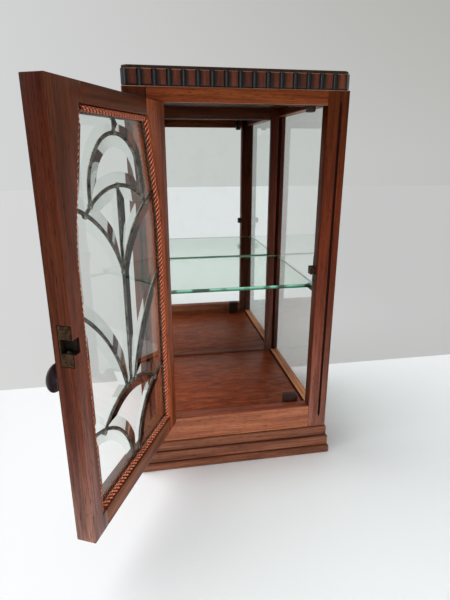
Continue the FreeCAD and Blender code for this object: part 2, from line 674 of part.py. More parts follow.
# Door frame. X runs from the hinge pin along the shut door, Y from its axis inwards.
EDGE = "(hinge_gap/2)"
DOOR_WIDTH = "(width - 2*post_width - hinge_gap - lock_gap)"
DOOR_END = f"({EDGE} + {DOOR_WIDTH})"
FACE = "pin_ahead"
INSIDE = "(pin_ahead + door_thickness)"
SEAT = "(pin_ahead + door_lip)"

door_left = size["hinge_gap"] / 2
door_wide = size["width"] - 2 * size["post_width"] - size["hinge_gap"] - size["lock_gap"]
door_low = size["plinth_height"] + size["sill_height"] + size["door_gap"]
door_high = size["post_top"] - size["head_height"] - size["door_gap"]
mid_x = door_left + door_wide / 2
sight_half = door_wide / 2 - size["stile_width"]
sight_low = door_low + size["door_foot"]
sight_high = door_high - size["door_head"]
slope = math.atan2(size["taper"], size["taper_height"])
knee = sight_high - size["taper_height"]


def outline(grow):
    """Right half of the glazed opening, from its foot to its top corner, grown outwards."""
    half = sight_half + grow
    radius = size["bend_radius"] + grow
    high = sight_high + grow
    turn_z = knee - size["bend_radius"] * math.tan(slope / 2)
    centre = V(mid_x + half - radius, 0, turn_z)

    def on_bend(angle):
        return centre + V(radius * math.cos(angle), 0, radius * math.sin(angle))

    foot = V(mid_x + half, 0, sight_low - grow)
    top_of_bend = on_bend(slope)
    run = (high - top_of_bend.z) * math.tan(slope)
    corner = V(top_of_bend.x - run, 0, high)
    straight = Part.LineSegment(foot, on_bend(0)).toShape()
    bend = Part.Arc(on_bend(0), on_bend(slope / 2), top_of_bend).toShape()
    lean = Part.LineSegment(top_of_bend, corner).toShape()
    return [straight, bend, lean], foot, corner


def flipped(shape):
    return shape.mirror(V(mid_x, 0, 0), V(1, 0, 0))


def opening(grow, near, far):
    """Prism through the door between two depths behind the pin's axis."""
    right, foot, corner = outline(grow)
    left = [flipped(edge) for edge in right]
    across = V(2 * (foot.x - mid_x), 0, 0)
    top = V(2 * (corner.x - mid_x), 0, 0)
    ends = [
        Part.LineSegment(foot - across, foot).toShape(),
        Part.LineSegment(corner, corner - top).toShape(),
    ]
    ring = Part.Wire(Part.__sortEdges__(right + left + ends))
    face = Part.Face(ring)
    face.translate(V(0, near, 0))
    return face.extrude(V(0, far - near, 0))


face_y = size["pin_ahead"]
seat_y = face_y + size["door_lip"]
inside_y = face_y + size["door_thickness"]
sight_room = solid("sight_room", opening(0, face_y - size["fit"], seat_y + size["fit"]))
rabbet_room = solid("rabbet_room", opening(size["door_rabbet"], seat_y, inside_y + size["fit"]))
tenon_y = (f"{FACE} + door_tenon_inset", f"{FACE} + door_tenon_inset + door_tenon_thickness")
tenon_room_y = (f"{tenon_y[0]} - fit", f"{tenon_y[1]} + fit")
FOOT_TENON = f"({DOOR_LOW} + door_tenon_shoulder)"
HEAD_TENON = f"({DOOR_HIGH} - door_tenon_shoulder - door_tenon_height)"
HEAD_SHOULDER = "(stile_width + taper)"
door_rails = [
    ("door_bottom_rail", "stile_width", (DOOR_LOW, f"{DOOR_LOW} + door_foot"), FOOT_TENON),
    ("door_top_rail", HEAD_SHOULDER, (f"{DOOR_HIGH} - door_head", DOOR_HIGH), HEAD_TENON),
]
door_mortises = []
for name, shoulder, z, tenon in door_rails:
    blank = box(name + "_blank", (f"{EDGE} + {shoulder}", f"{DOOR_END} - {shoulder}"), (FACE, INSIDE), z)
    bar = cut(name + "_bar", blank, sight_room, rabbet_room)
    reach = f"({shoulder} - door_tenon_length)"
    tongue_x = (f"{EDGE} + {reach}", f"{DOOR_END} - {reach}")
    tongue_z = (tenon, f"{tenon} + door_tenon_height")
    keep_on_door(fuse(name, bar, box(name + "_tenon", tongue_x, tenon_y, tongue_z)))
    door_mortises.append(box(
        name + "_mortise",
        (f"{tongue_x[0]} - fit", f"{tongue_x[1]} + fit"),
        tenon_room_y,
        (f"{tongue_z[0]} - fit", f"{tongue_z[1]} + fit"),
    ))


def stile_blank(name, outer, narrow, wide):
    spread = f"({DOOR_HIGH} - door_head - taper_height - bend_radius*taper/(2*taper_height))"
    boards = []
    for part, inner, foot in (("low", narrow, DOOR_LOW), ("high", wide, spread)):
        x = (outer, inner) if outer == EDGE else (inner, outer)
        boards.append(box(f"{name}_{part}", x, (FACE, INSIDE), (foot, DOOR_HIGH)))
    return fuse(name, *boards)


hinge_blank = stile_blank("hinge_blank", EDGE, f"{EDGE} + stile_width", f"{EDGE} + {HEAD_SHOULDER}")
lock_blank = stile_blank("lock_blank", DOOR_END, f"{DOOR_END} - stile_width", f"{DOOR_END} - {HEAD_SHOULDER}")
keep_on_door(cut(
    "door_hinge_stile", hinge_blank, sight_room, rabbet_room, *door_mortises, *door_hinge_room,
))

# Double-ball catch, let into the edge of the lock stile.
case_x = (f"{DOOR_END} - catch_depth", DOOR_END)
case_y = (f"{FACE} + catch_inset", f"{FACE} + catch_inset + catch_width")
case_z = ("catch_level - catch_height/2", "catch_level + catch_height/2")
slot_x = (f"{DOOR_END} - catch_slot_depth", f"{DOOR_END} + fit")
slot_z = ("catch_level - catch_slot/2", "catch_level + catch_slot/2")
case_slot = box("case_slot", slot_x, (f"{case_y[0]} - fit", f"{case_y[1]} + fit"), slot_z)
BALL_X = f"({DOOR_END} - ball_place)"
BALL_Y = f"({FACE} + catch_inset + catch_width/2)"
case_bores = []
catch_holes = []
catch_screws = []
for place, sign, way in (("upper", "+", "+z"), ("lower", "-", "-z")):
    start = (BALL_X, BALL_Y, "catch_level")
    deep = "catch_slot/2 + ball_bore"
    case_bores.append(rod(f"{place}_bore", way, start, "ball_radius + ball_play", deep))
    start = (DOOR_END, BALL_Y, f"catch_level {sign} catch_screw_place")
    catch_holes.append(screw_hole(f"{place}_catch_hole", "-x", start))
    catch_screws.append(screw(f"{place}_catch_screw", "-x", start))
    ball = doc.addObject("Part::Sphere", f"{place}_ball_body")
    bind(ball, "Radius", "ball_radius")
    placed(ball, BALL_X, BALL_Y, f"catch_level {sign} {BALL_RISE}")
    keep_on_door(group(f"catch_ball_{place}", ball))
case_block = box("case_block", case_x, case_y, case_z)
keep_on_door(cut("catch_case", case_block, case_slot, *case_bores, *catch_holes))
keep_on_door(group("catch_screw_pair", *catch_screws))

ball_x = door_left + door_wide - size["ball_place"]
ball_y = face_y + size["catch_inset"] + size["catch_width"] / 2
spring_foot = size["catch_slot"] / 2 + 2 * size["ball_radius"] - size["ball_out"] + size["spring_room"]
spring_end = size["catch_slot"] / 2 + size["ball_bore"] - size["spring_room"]
spring_tall = spring_end - spring_foot - 2 * size["spring_wire"]
coil = Part.makeHelix(spring_tall / size["spring_turns"], spring_tall, size["spring_radius"])
wire_end = Part.Wire(Part.makeCircle(size["spring_wire"], V(size["spring_radius"], 0, 0), V(0, 1, 0)))
spring = Part.Wire(coil.Edges).makePipeShell([wire_end], True, True)
for place, sign, way in (("upper", 1, "+z"), ("lower", -1, "-z")):
    foot = V(ball_x, ball_y, size["catch_level"] + sign * (spring_foot + size["spring_wire"]))
    seat = FreeCAD.Placement(foot, TURNS[way])
    keep_on_door(solid(f"catch_spring_{place}", spring.transformGeometry(seat.toMatrix())))

# Knob, turned with a spigot that goes into the lock stile.
KNOB_X = f"({DOOR_END} - stile_width/2)"
KNOB_HEAD = "(knob_reach - knob_crown)"
knob_head = doc.addObject("Part::Ellipsoid", "knob_head")
bind(knob_head, "Radius1", "knob_crown")
bind(knob_head, "Radius2", "knob_radius")
bind(knob_head, "Radius3", "knob_radius")
knob_head.Placement = FreeCAD.Placement(V(), TURNS["-y"])
placed(knob_head, KNOB_X, f"{FACE} - {KNOB_HEAD}", "knob_level")
at_face = (KNOB_X, FACE, "knob_level")
knob_neck = rod("knob_neck_rod", "-y", at_face, "knob_neck", KNOB_HEAD)
knob_foot = cone("knob_foot_cone", "-y", at_face, "knob_foot", "knob_neck", "knob_foot_height")
knob_spigot = rod("knob_spigot_rod", "+y", at_face, "knob_spigot", "knob_spigot_length")
keep_on_door(fuse("knob", knob_head, knob_neck, knob_foot, knob_spigot))
spigot_hole = rod("spigot_hole", "+y", at_face, "knob_spigot + fit", "knob_spigot_length + fit")

case_room = box(
    "case_room",
    (f"{case_x[0]} - fit", f"{DOOR_END} + fit"),
    (f"{case_y[0]} - fit", f"{case_y[1]} + fit"),
    (f"{case_z[0]} - fit", f"{case_z[1]} + fit"),
)
tongue_way = box("tongue_way", slot_x, (case_y[0], f"{INSIDE} + fit"), slot_z)
keep_on_door(cut(
    "door_lock_stile", lock_blank,
    sight_room, rabbet_room, *door_mortises, case_room, tongue_way, spigot_hole, *catch_holes,
))

# Leaded glass: arcs and a stem, drawn on the door's middle line.
def at(x, z):
    return V(mid_x + x, 0, z)


def bow(start, end, rise):
    """Arc from start to end that stands out by its rise, up and towards the stem."""
    chord = end - start
    out = V(chord.z, 0, -chord.x).normalize()
    middle = (start + end) / 2 + out * rise
    return Part.Arc(start, middle, end).toShape()


def crown(half, top, end):
    """Arc over the middle line, from one end to the other."""
    return Part.Arc(at(-half, end), at(0, top), at(half, end)).toShape()


calyx_top = sight_high - size["calyx_drop"]
calyx_end = calyx_top - size["calyx_rise"]
root_top = sight_low + size["root_height"]
root_end = root_top - size["root_rise"]
arch = size["arch_radius"]
arch_top = sight_high - size["arch_drop"]
arch_mid = arch_top - arch
past_edge = sight_half + size["door_rabbet"]
lines = [
    Part.LineSegment(at(0, sight_high + size["door_rabbet"]), at(0, arch_top)).toShape(),
    Part.LineSegment(at(0, calyx_top), at(0, root_top)).toShape(),
    crown(size["calyx_reach"], calyx_top, calyx_end),
    crown(size["root_reach"], root_top, root_end),
    crown(arch, arch_top, arch_mid),
]
calyx_radius = (size["calyx_reach"] ** 2 + size["calyx_rise"] ** 2) / (2 * size["calyx_rise"])
calyx_fall = calyx_radius - math.sqrt(calyx_radius ** 2 - arch ** 2)
leaf_tip = at(past_edge, sight_high - size["leaf_drop"])
leaf_foot = at(0, sight_high - size["leaf_foot_drop"])
blade_tip = at(past_edge, sight_high - size["blade_drop"])
blade_foot = at(size["blade_foot"], root_top)
frond_tip = at(past_edge, sight_low + size["frond_height"])
frond_foot = at(size["frond_foot"], sight_low - size["door_rabbet"])
side_lines = [
    Part.LineSegment(at(arch, arch_mid), at(arch, calyx_top - calyx_fall)).toShape(),
    bow(leaf_tip, leaf_foot, size["leaf_rise"]),
    bow(blade_tip, blade_foot, size["blade_rise"]),
    bow(frond_tip, frond_foot, size["frond_rise"]),
]
lines = lines + side_lines + [flipped(edge) for edge in side_lines]


def strip(edge, wide, near, far):
    """Straight or bent strip along an edge, between two depths."""
    first, last = edge.Vertexes[0].Point, edge.Vertexes[-1].Point
    half = wide / 2
    if isinstance(edge.Curve, Part.Line):
        side = (last - first).cross(V(0, 1, 0)).normalize() * half
        ring = Part.makePolygon([first + side, last + side, last - side, first - side, first + side])
    else:
        centre = edge.Curve.Center
        middle = edge.valueAt((edge.FirstParameter + edge.LastParameter) / 2)

        def moved(point, step):
            ray = point - centre
            return centre + ray * ((ray.Length + step) / ray.Length)

        sides = []
        for step in (half, -half):
            sides.append(Part.Arc(moved(first, step), moved(middle, step), moved(last, step)).toShape())
        caps = [
            Part.LineSegment(moved(first, half), moved(first, -half)).toShape(),
            Part.LineSegment(moved(last, half), moved(last, -half)).toShape(),
        ]
        ring = Part.Wire(Part.__sortEdges__(sides + caps))
    face = Part.Face(ring)
    face.translate(V(0, near, 0))
    return face.extrude(V(0, far - near, 0))


panel_grow = size["door_rabbet"] - size["glass_play"]
came_near = seat_y
came_far = seat_y + size["came_height"]
flange = size["came_flange"]
panel = opening(panel_grow, came_near, came_far)
rim_web = panel.cut(opening(panel_grow - size["came_web"], came_near, came_far))
rim_flange = panel.cut(opening(panel_grow - size["came_width"], came_near, came_far))
glass_core = opening(panel_grow, came_near + flange, came_far - flange)
rim = rim_web.fuse(rim_flange.cut(glass_core))
webs = [strip(edge, size["came_web"], came_near, came_far) for edge in lines]
flanges = []
for edge in lines:
    flanges.append(strip(edge, size["came_width"], came_near, came_near + flange))
    flanges.append(strip(edge, size["came_width"], came_far - flange, came_far))
lattice = webs[0].multiFuse(webs[1:] + flanges).common(panel).fuse(rim).removeSplitter()
keep_on_door(solid("came_lattice", lattice))

pane_near = came_near + flange + size["pane_play"]
pane_far = came_far - flange - size["pane_play"]
pane_grow = panel_grow - size["came_web"] - size["pane_play"]
pane_sheet = opening(pane_grow, pane_near, pane_far)
pane_gaps = [strip(edge, size["came_web"] + 2 * size["pane_play"], came_near, came_far) for edge in lines]
keep_on_door(solid("leaded_panes", pane_sheet.cut(pane_gaps)))

# Cord in the rabbet, inside the leaded panel: two sides, a top and a foot.
cord_y = came_far + size["cord_room"] + size["cord_radius"]
cord_grow = size["door_rabbet"] - size["cord_radius"] - size["cord_room"]
right_run, cord_foot, cord_corner = outline(cord_grow)
cord_end = size["cord_radius"]
right_foot = V(cord_foot.x, 0, cord_foot.z - cord_end)
right_run[0] = Part.LineSegment(right_foot, right_run[0].Vertexes[-1].Point).toShape()
side_path = Part.Wire(right_run)
side_path.translate(V(0, cord_y, 0))
side_ring = Part.Wire(Part.makeCircle(size["cord_radius"], right_foot + V(0, cord_y, 0), V(0, 0, 1)))
right_cord = side_path.makePipeShell([side_ring], True, False)
beside = size["cord_radius"] + size["cord_room"]
cord_runs = [right_cord, flipped(right_cord)]
for level, half in ((cord_foot.z, cord_foot.x - mid_x), (cord_corner.z, cord_corner.x - mid_x)):
    reach = half - beside / math.cos(slope)
    start = V(mid_x - reach, cord_y, level)
    cord_runs.append(Part.makeCylinder(size["cord_radius"], 2 * reach, start, V(1, 0, 0)))
keep_on_door(solid("glazing_cord", Part.Compound(cord_runs)))

doc.recompute()
failed = [item.Name for item in doc.Objects if {"Invalid", "Error"} & set(item.State)]
for item in parts:
    if item.Shape.isNull() or not item.Shape.isValid() or not item.Shape.Solids:
        failed.append(item.Label)
if failed:
    raise RuntimeError("These did not build: " + ", ".join(failed))
os.makedirs("parts", exist_ok=True)
for item in parts:
    item.Shape.exportStep(f"parts/{item.Label}.step")
    print(item.Label, len(item.Shape.Solids), round(item.Shape.Volume, 1))
print(len(parts), "nodes")
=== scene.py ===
import itertools
import math

import bmesh
import bpy
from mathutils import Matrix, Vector


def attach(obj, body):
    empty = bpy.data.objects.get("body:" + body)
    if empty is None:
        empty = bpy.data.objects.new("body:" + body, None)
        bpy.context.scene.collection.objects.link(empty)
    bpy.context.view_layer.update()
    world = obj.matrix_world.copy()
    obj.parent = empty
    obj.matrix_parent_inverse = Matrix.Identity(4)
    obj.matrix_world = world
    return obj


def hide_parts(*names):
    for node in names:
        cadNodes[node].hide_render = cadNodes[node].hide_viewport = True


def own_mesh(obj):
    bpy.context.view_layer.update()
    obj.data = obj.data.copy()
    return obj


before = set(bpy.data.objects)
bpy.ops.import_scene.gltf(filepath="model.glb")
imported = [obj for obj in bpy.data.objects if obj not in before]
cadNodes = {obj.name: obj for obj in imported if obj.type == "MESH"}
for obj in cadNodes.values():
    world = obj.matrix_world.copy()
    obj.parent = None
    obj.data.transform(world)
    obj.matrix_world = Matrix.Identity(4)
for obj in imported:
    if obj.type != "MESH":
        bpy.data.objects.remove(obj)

mm = 0.001
scene = bpy.context.scene
scene.view_settings.view_transform = "Standard"
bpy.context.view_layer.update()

photoView = {"place": (-0.1290, -0.7725, 0.4844), "yaw": 0.173, "pitch": 0.313, "lens": 27.16}
photoLens = bpy.data.cameras.new("photoLens")
photoLens.lens = photoView["lens"]
photoLens.clip_start = 0.02
photoCamera = bpy.data.objects.new("photoCamera", photoLens)
photoCamera.location = photoView["place"]
photoCamera.rotation_euler = (math.pi / 2 - photoView["pitch"], 0, -photoView["yaw"])
scene.collection.objects.link(photoCamera)
scene.camera = photoCamera


def linearFrom(hexColour):
    channels = [int(hexColour[i:i + 2], 16) / 255 for i in (1, 3, 5)]
    return [c / 12.92 if c <= 0.04045 else ((c + 0.055) / 1.055) ** 2.4 for c in channels] + [1.0]


def linkInto(tree, node, links):
    for key, source in links.items():
        if isinstance(source, bpy.types.Node):  # a node stands for its first output
            source = source.outputs[0]
        tree.links.new(source, node.inputs[key])


def addNode(tree, kind, settings=None, links=None):
    made = tree.nodes.new("ShaderNode" + kind)
    for key, value in (settings or {}).items():
        if key == "stops":
            ramp = made.color_ramp.elements
            while len(ramp) < len(value):
                ramp.new(0.5)
            for element, (position, hexColour) in zip(ramp, value):
                element.position = position
                element.color = linearFrom(hexColour)
        elif isinstance(key, int) or key in made.inputs:
            made.inputs[key].default_value = linearFrom(value) if isinstance(value, str) else value
        else:
            setattr(made, key, value)
    linkInto(tree, made, links or {})
    return made


def blankMaterial(name, settings):
    material = bpy.data.materials.new(name)
    material.use_nodes = True
    tree = material.node_tree
    tree.nodes.clear()
    shader = addNode(tree, "BsdfPrincipled", settings)
    addNode(tree, "OutputMaterial", None, {"Surface": shader})
    return material, tree, shader


doorOpen = math.radians(115)
multiplied = {"data_type": "RGBA", "blend_type": "MULTIPLY"}  # a mix that darkens one colour by another
grainTurns = {"x": (0, 0, 0), "y": (0, 0, -math.pi / 2), "z": (0, math.pi / 2, 0)}
woodTones = {
    "carcass": ("#42190b", "#713519", "#8b4a28"),
    "post": ("#553529", "#825446", "#9c6657"),
    # painted shade: the front posts' faces towards the inside
    "postInner": ("#392118", "#59362c", "#6c4338"),
    "head": ("#4b1d0b", "#7c3a18", "#985327"),
    "sill": ("#7b4630", "#9a5b3e", "#ad7153"),
    "plinth": ("#532f21", "#7a4832", "#906047"),
    "cornice": ("#381509", "#622e19", "#7a4124"),
    "door": ("#644841", "#916960", "#ab7c71"),
    "hingeStile": ("#542212", "#894122", "#a65a33"),
    "footRail": ("#4d261b", "#7d4930", "#986446"),
    "stileEdge": ("#76554a", "#a27667", "#bc8979"),
    # painted highlight: arrises that catch the light
    "rubbed": ("#6b4a38", "#8d6a55", "#a98a74"),
    "floor": ("#57200f", "#88391d", "#a9592f"),
    # painted shade: the inside, the underside of the head rail and the rear posts are drawn darker
    "inner": ("#240e07", "#44200f", "#5b2f1a"),
    "underside": ("#2c120a", "#4d2614", "#66371f"),
    "rear": ("#442d28", "#5e3f37", "#734f46"),
    "ledge": ("#662b1b", "#944830", "#af6043"),
    "lip": ("#a96446", "#dc8b64", "#f6af8a"),
    "bead": ("#a96241", "#da885f", "#f4ac83"),
    "plain": ("#5a3a24", "#85603f", "#a37d58"),
}
paintedHeightShade = {  # painted shade by height, lighter at the foot and darker higher up: how much darker it gets, by share of the height
    "post": (
        (0.2, "#e2d0c7"), (0.4, "#d4aa93"), (0.55, "#c08861"), (0.75, "#c48957"), (1.0, "#a87935")),
    "postInner": ((0.5, "#ffcb9b"), (1.0, "#faac3e")),
    "door": ((0.5, "#c68d63"), (1.0, "#b3793a")),
    "stileEdge": ((0.33, "#a07564"), (0.58, "#8d633f"), (1.0, "#744528")),
    "rear": ((0.5, "#ffcbb3"), (0.7, "#edad8e"), (0.9, "#c48165")),
}
shadeHeights = {"From Min": 0.06, "From Max": 0.54}  # metres
wornPolish = {  # share of the shellac's shine left
    "post": 0.4, "postInner": 0.3, "stileEdge": 0.35, "head": 0.5, "rear": 0.5, "inner": 0.6, "underside": 0.05,
}
woodGrain = {  # millimetres along and across the grain; fibre and pore are drawn coarser than life so that they show
    "band": (230, 12, 3.0),
    "fibre": (60, 2.2, 4.0),
    "pore": (11, 0.9, 2.0),
}
woodLook = {  # the polish's shine and dullest and brightest roughness, how strongly streaks and pores show, pore depth
    "specular": 0.22, "coat": 0.05, "dull": 0.52, "bright": 0.34, "streaks": 0.75, "pores": 0.7, "relief": 0.35,
    "pore depth": 0.2,
}
woodCount = itertools.count(1)
grainStep = (0.413, 0.271, 0.137)  # moves the grain on from piece to piece, so that no two are alike
reedPitch = 0.0182  # metres from flute to flute
reedPhase = 20.5  # half a pitch puts a flute's middle at 0.5, and whole pitches keep the sum above nought
# painted shade across each rib: darker on its flanks beside the flutes, one flank over a longer stretch, lighter on its
# middle
paintedReedShade = (
    (0.24, "#f6e6e0"), (0.36, "#2e211d"), (0.66, "#2c2826"), (0.8, "#9a938e"), (0.95, "#ffffff"))
# painted highlight: a thin grey-blue line down the middle of each flute
paintedFluteHighlight = ((0.475, "#000000"), (0.492, "#444a50"), (0.515, "#444a50"), (0.532, "#000000"))


def acrossFlute(tree, seat, axis):
    split = addNode(tree, "SeparateXYZ", None, {0: seat})
    place = addNode(
        tree, "Math", {"operation": "MULTIPLY_ADD", 1: 1 / reedPitch, 2: reedPhase}, {0: split.outputs[axis]})
    return addNode(tree, "Math", {"operation": "FRACT"}, {0: place})


# Stained hardwood, planed and shellacked: streaked figure, open pores along the grain, a soft sheen, and for some tones
# painted shade, by height or across the reeds.
def stainedWood(name, grain, tone, turn=0.0, wild=0.25, figure=1.0, reeds=None):
    polish = wornPolish.get(tone, 1.0)
    material, tree, shader = blankMaterial(name, {
        "IOR": 1.5, "Specular IOR Level": woodLook["specular"] * polish, "Coat Weight": woodLook["coat"] * polish,
        "Coat Roughness": 0.2})
    number = next(woodCount)
    seat = addNode(tree, "TexCoord").outputs["Object"]
    squared = addNode(tree, "Mapping", {"Rotation": (0, 0, turn)}, {"Vector": seat})
    laid = addNode(
        tree, "Mapping", {"Rotation": grainTurns[grain], "Location": [step * number for step in grainStep]},
        {"Vector": squared})
    fields = {}
    for key, (along, across, detail) in woodGrain.items():
        stretched = addNode(
            tree, "Mapping", {"Scale": (1 / (along * figure * mm), 1 / (across * mm), 1 / (across * mm))},
            {"Vector": laid})
        fields[key] = addNode(
            tree, "TexNoise", {"Scale": 1.0, "Detail": detail, "Roughness": 0.55, "Distortion": wild},
            {"Vector": stretched})
    stain = addNode(
        tree, "ValToRGB", {"stops": tuple(zip((0.28, 0.5, 0.74), woodTones[tone]))}, {0: fields["band"]})
    streak = addNode(tree, "ValToRGB", {"stops": ((0.3, "#a3938c"), (0.62, "#ffffff"))}, {0: fields["fibre"]})
    pits = addNode(tree, "ValToRGB", {"stops": ((0.33, "#4a3a34"), (0.42, "#ffffff"))}, {0: fields["pore"]})
    streaked = addNode(tree, "Mix", {**multiplied, 0: woodLook["streaks"]}, {6: stain, 7: streak})
    colour = addNode(tree, "Mix", {**multiplied, 0: woodLook["pores"]}, {6: streaked.outputs[2], 7: pits})
    # painted shade: across the reeds, or by height, lighter at the foot and darker higher up
    shadeStops = paintedReedShade if reeds else paintedHeightShade.get(tone)
    if shadeStops:
        if reeds:
            share = acrossFlute(tree, seat, reeds)
        else:
            split = addNode(tree, "SeparateXYZ", None, {0: seat})
            share = addNode(tree, "MapRange", shadeHeights, {"Value": split.outputs["Z"]})
        shadeFactor = addNode(tree, "ValToRGB", {"stops": ((0.0, "#ffffff"), *shadeStops)}, {0: share})
        colour = addNode(tree, "Mix", {**multiplied, 0: 1.0}, {6: colour.outputs[2], 7: shadeFactor})
    sheen = addNode(
        tree, "MapRange", {"To Min": woodLook["dull"], "To Max": woodLook["bright"]}, {"Value": fields["fibre"]})
    depth = addNode(tree, "Math", {"operation": "MULTIPLY"}, {0: pits, 1: fields["fibre"]})
    relief = addNode(
        tree, "Bump", {"Strength": woodLook["relief"], "Distance": woodLook["pore depth"] * mm}, {"Height": depth})
    linkInto(tree, shader, {"Base Color": colour.outputs[2], "Roughness": sheen, "Normal": relief})
    return material


eboniseGrain = (3, 3, 40)  # millimetres across and along the grain, drawn coarser than life so that it shows


# Ebonised wood: black stain under gloss varnish, the grain only just showing, and where asked a painted highlight, a
# grey line down the middle of a flute.
def ebonisedWood(name, dark, light, roughness, reeds=None, gloss=1.0):
    material, tree, shader = blankMaterial(
        name, {"IOR": 1.5, "Specular IOR Level": 0.3 * gloss, "Coat Weight": 0.12 * gloss, "Coat Roughness": 0.12})
    seat = addNode(tree, "TexCoord").outputs["Object"]
    stretched = addNode(tree, "Mapping", {"Scale": [1 / (size * mm) for size in eboniseGrain]}, {"Vector": seat})
    grain = addNode(tree, "TexNoise", {"Scale": 1.0, "Detail": 4.0}, {"Vector": stretched})
    stained = addNode(tree, "ValToRGB", {"stops": ((0.35, dark), (0.7, light))}, {0: grain}).outputs[0]
    dull = addNode(tree, "MapRange", {"To Min": roughness - 0.08, "To Max": roughness + 0.1}, {"Value": grain})
    if reeds:
        rubbed = addNode(tree, "ValToRGB", {"stops": paintedFluteHighlight}, {0: acrossFlute(tree, seat, reeds)})
        stained = addNode(
            tree, "Mix", {"data_type": "RGBA", "blend_type": "ADD", 0: 1.0}, {6: stained, 7: rubbed}).outputs[2]
    linkInto(tree, shader, {"Base Color": stained, "Roughness": dull})
    return material


# Metal that has aged: the bare tone shows in patches, in millimetres, through a darker skin.
def agedMetal(name, skin, bare, patch, rough, metallic=1.0):
    material, tree, shader = blankMaterial(name, {"Metallic": metallic})
    seat = addNode(tree, "TexCoord").outputs["Object"]
    cloud = addNode(
        tree, "TexNoise", {"Scale": 1 / (patch * mm), "Detail": 5.0, "Roughness": 0.6}, {"Vector": seat})
    grit = addNode(tree, "TexNoise", {"Scale": 1 / (0.5 * mm), "Detail": 2.0}, {"Vector": seat})
    colour = addNode(tree, "ValToRGB", {"stops": ((0.34, skin), (0.68, bare))}, {0: cloud})
    dull = addNode(tree, "MapRange", {"To Min": rough + 0.14, "To Max": rough - 0.1}, {"Value": cloud})
    relief = addNode(tree, "Bump", {"Strength": 0.2, "Distance": 0.0001}, {"Height": grit})
    linkInto(tree, shader, {"Base Color": colour, "Roughness": dull, "Normal": relief})
    return material


# Drawn and polished sheet glass: clear, with lamps let through, and green where one looks along it.
def sheetGlass(name, tint, soak=None, density=0.0):
    material, tree, shader = blankMaterial(
        name, {"Base Color": tint, "Roughness": 0.0, "IOR": 1.52, "Transmission Weight": 1.0})
    lampWay = addNode(tree, "BsdfTransparent", {"Color": tint})
    path = addNode(tree, "LightPath")
    both = addNode(tree, "MixShader", None, {0: path.outputs["Is Shadow Ray"], 1: shader, 2: lampWay})
    out = tree.nodes["Material Output"]
    linkInto(tree, out, {"Surface": both})
    if soak:
        body = addNode(tree, "VolumeAbsorption", {"Color": soak, "Density": density})
        linkInto(tree, out, {"Volume": body})
    return material


# Silvered glass: a bright mirror with faint grey bloom where the silver has aged.
def silveredGlass(name):
    material, tree, shader = blankMaterial(name, {"Metallic": 1.0})
    seat = addNode(tree, "TexCoord").outputs["Object"]
    bloom = addNode(tree, "TexNoise", {"Scale": 1 / 0.035, "Detail": 6.0, "Roughness": 0.65}, {"Vector": seat})
    colour = addNode(tree, "ValToRGB", {"stops": ((0.2, "#e4e8e5"), (0.5, "#e9edeb"))}, {0: bloom})
    haze = addNode(tree, "MapRange", {"To Min": 0.01, "To Max": 0.0}, {"Value": bloom})
    linkInto(tree, shader, {"Base Color": colour, "Roughness": haze})
    return material


# Mercerised cotton: dyed yarns laid round each strand, lighter in worn patches, painted shade in the crevices between
# strands, with a soft sheen.
def dyedCotton(name):
    material, tree, shader = blankMaterial(name, {
        "IOR": 1.45, "Roughness": 0.75, "Sheen Weight": 0.35, "Sheen Roughness": 0.4, "Sheen Tint": "#f0b090"})
    yarnPlace = addNode(tree, "UVMap", {"uv_map": "yarn"})
    split = addNode(tree, "SeparateXYZ", None, {0: yarnPlace})
    roundStrand = addNode(tree, "Math", {"operation": "PINGPONG", 1: 0.5}, {0: split.outputs["Y"]})
    # painted shade: darker towards the crevices between strands
    lay = addNode(
        tree, "ValToRGB", {"stops": ((0.07, "#ffffff"), (0.15, "#c88d7b"), (0.23, "#4a2016"))}, {0: roundStrand})
    sized = addNode(tree, "Mapping", {"Scale": (1.0, 6.0, 1.0)}, {"Vector": yarnPlace})
    yarns = addNode(
        tree, "TexWave", {"bands_direction": "DIAGONAL", "Scale": 0.3, "Distortion": 1.2, "Detail": 2.0},
        {"Vector": sized}).outputs[1]
    seat = addNode(tree, "TexCoord").outputs["Object"]
    dye = addNode(tree, "TexNoise", {"Scale": 1 / 0.0032, "Detail": 2.0}, {"Vector": seat})
    colour = addNode(
        tree, "ValToRGB", {"stops": ((0.2, "#b54f33"), (0.5, "#dd7850"), (0.8, "#f5ab80"))}, {0: yarns})
    patches = addNode(tree, "ValToRGB", {"stops": ((0.34, "#a8705c"), (0.58, "#ffffff"))}, {0: dye})
    dyed = addNode(tree, "Mix", {**multiplied, 0: 0.7}, {6: colour, 7: patches})
    shaded = addNode(tree, "Mix", {**multiplied, 0: 1.0}, {6: dyed.outputs[2], 7: lay})
    relief = addNode(tree, "Bump", {"Strength": 0.6, "Distance": 0.0003}, {"Height": yarns})
    linkInto(tree, shader, {"Base Color": shaded.outputs[2], "Normal": relief})
    return material


# painted shade, dark and nearly matt, for grooves, quirks, gaps and let-ins; the fully matt one for the groove that
# holds the side glass
grooveShade = ebonisedWood("paintedGrooveShade", "#160704", "#2b1009", 0.7, gloss=0.2)
rebateShade = ebonisedWood("paintedRebateShade", "#160704", "#2b1009", 0.8, gloss=0.0)
flutePaint = {axis: ebonisedWood("eboniseFlute" + axis, "#0a0808", "#181212", 0.34, axis) for axis in "XY"}
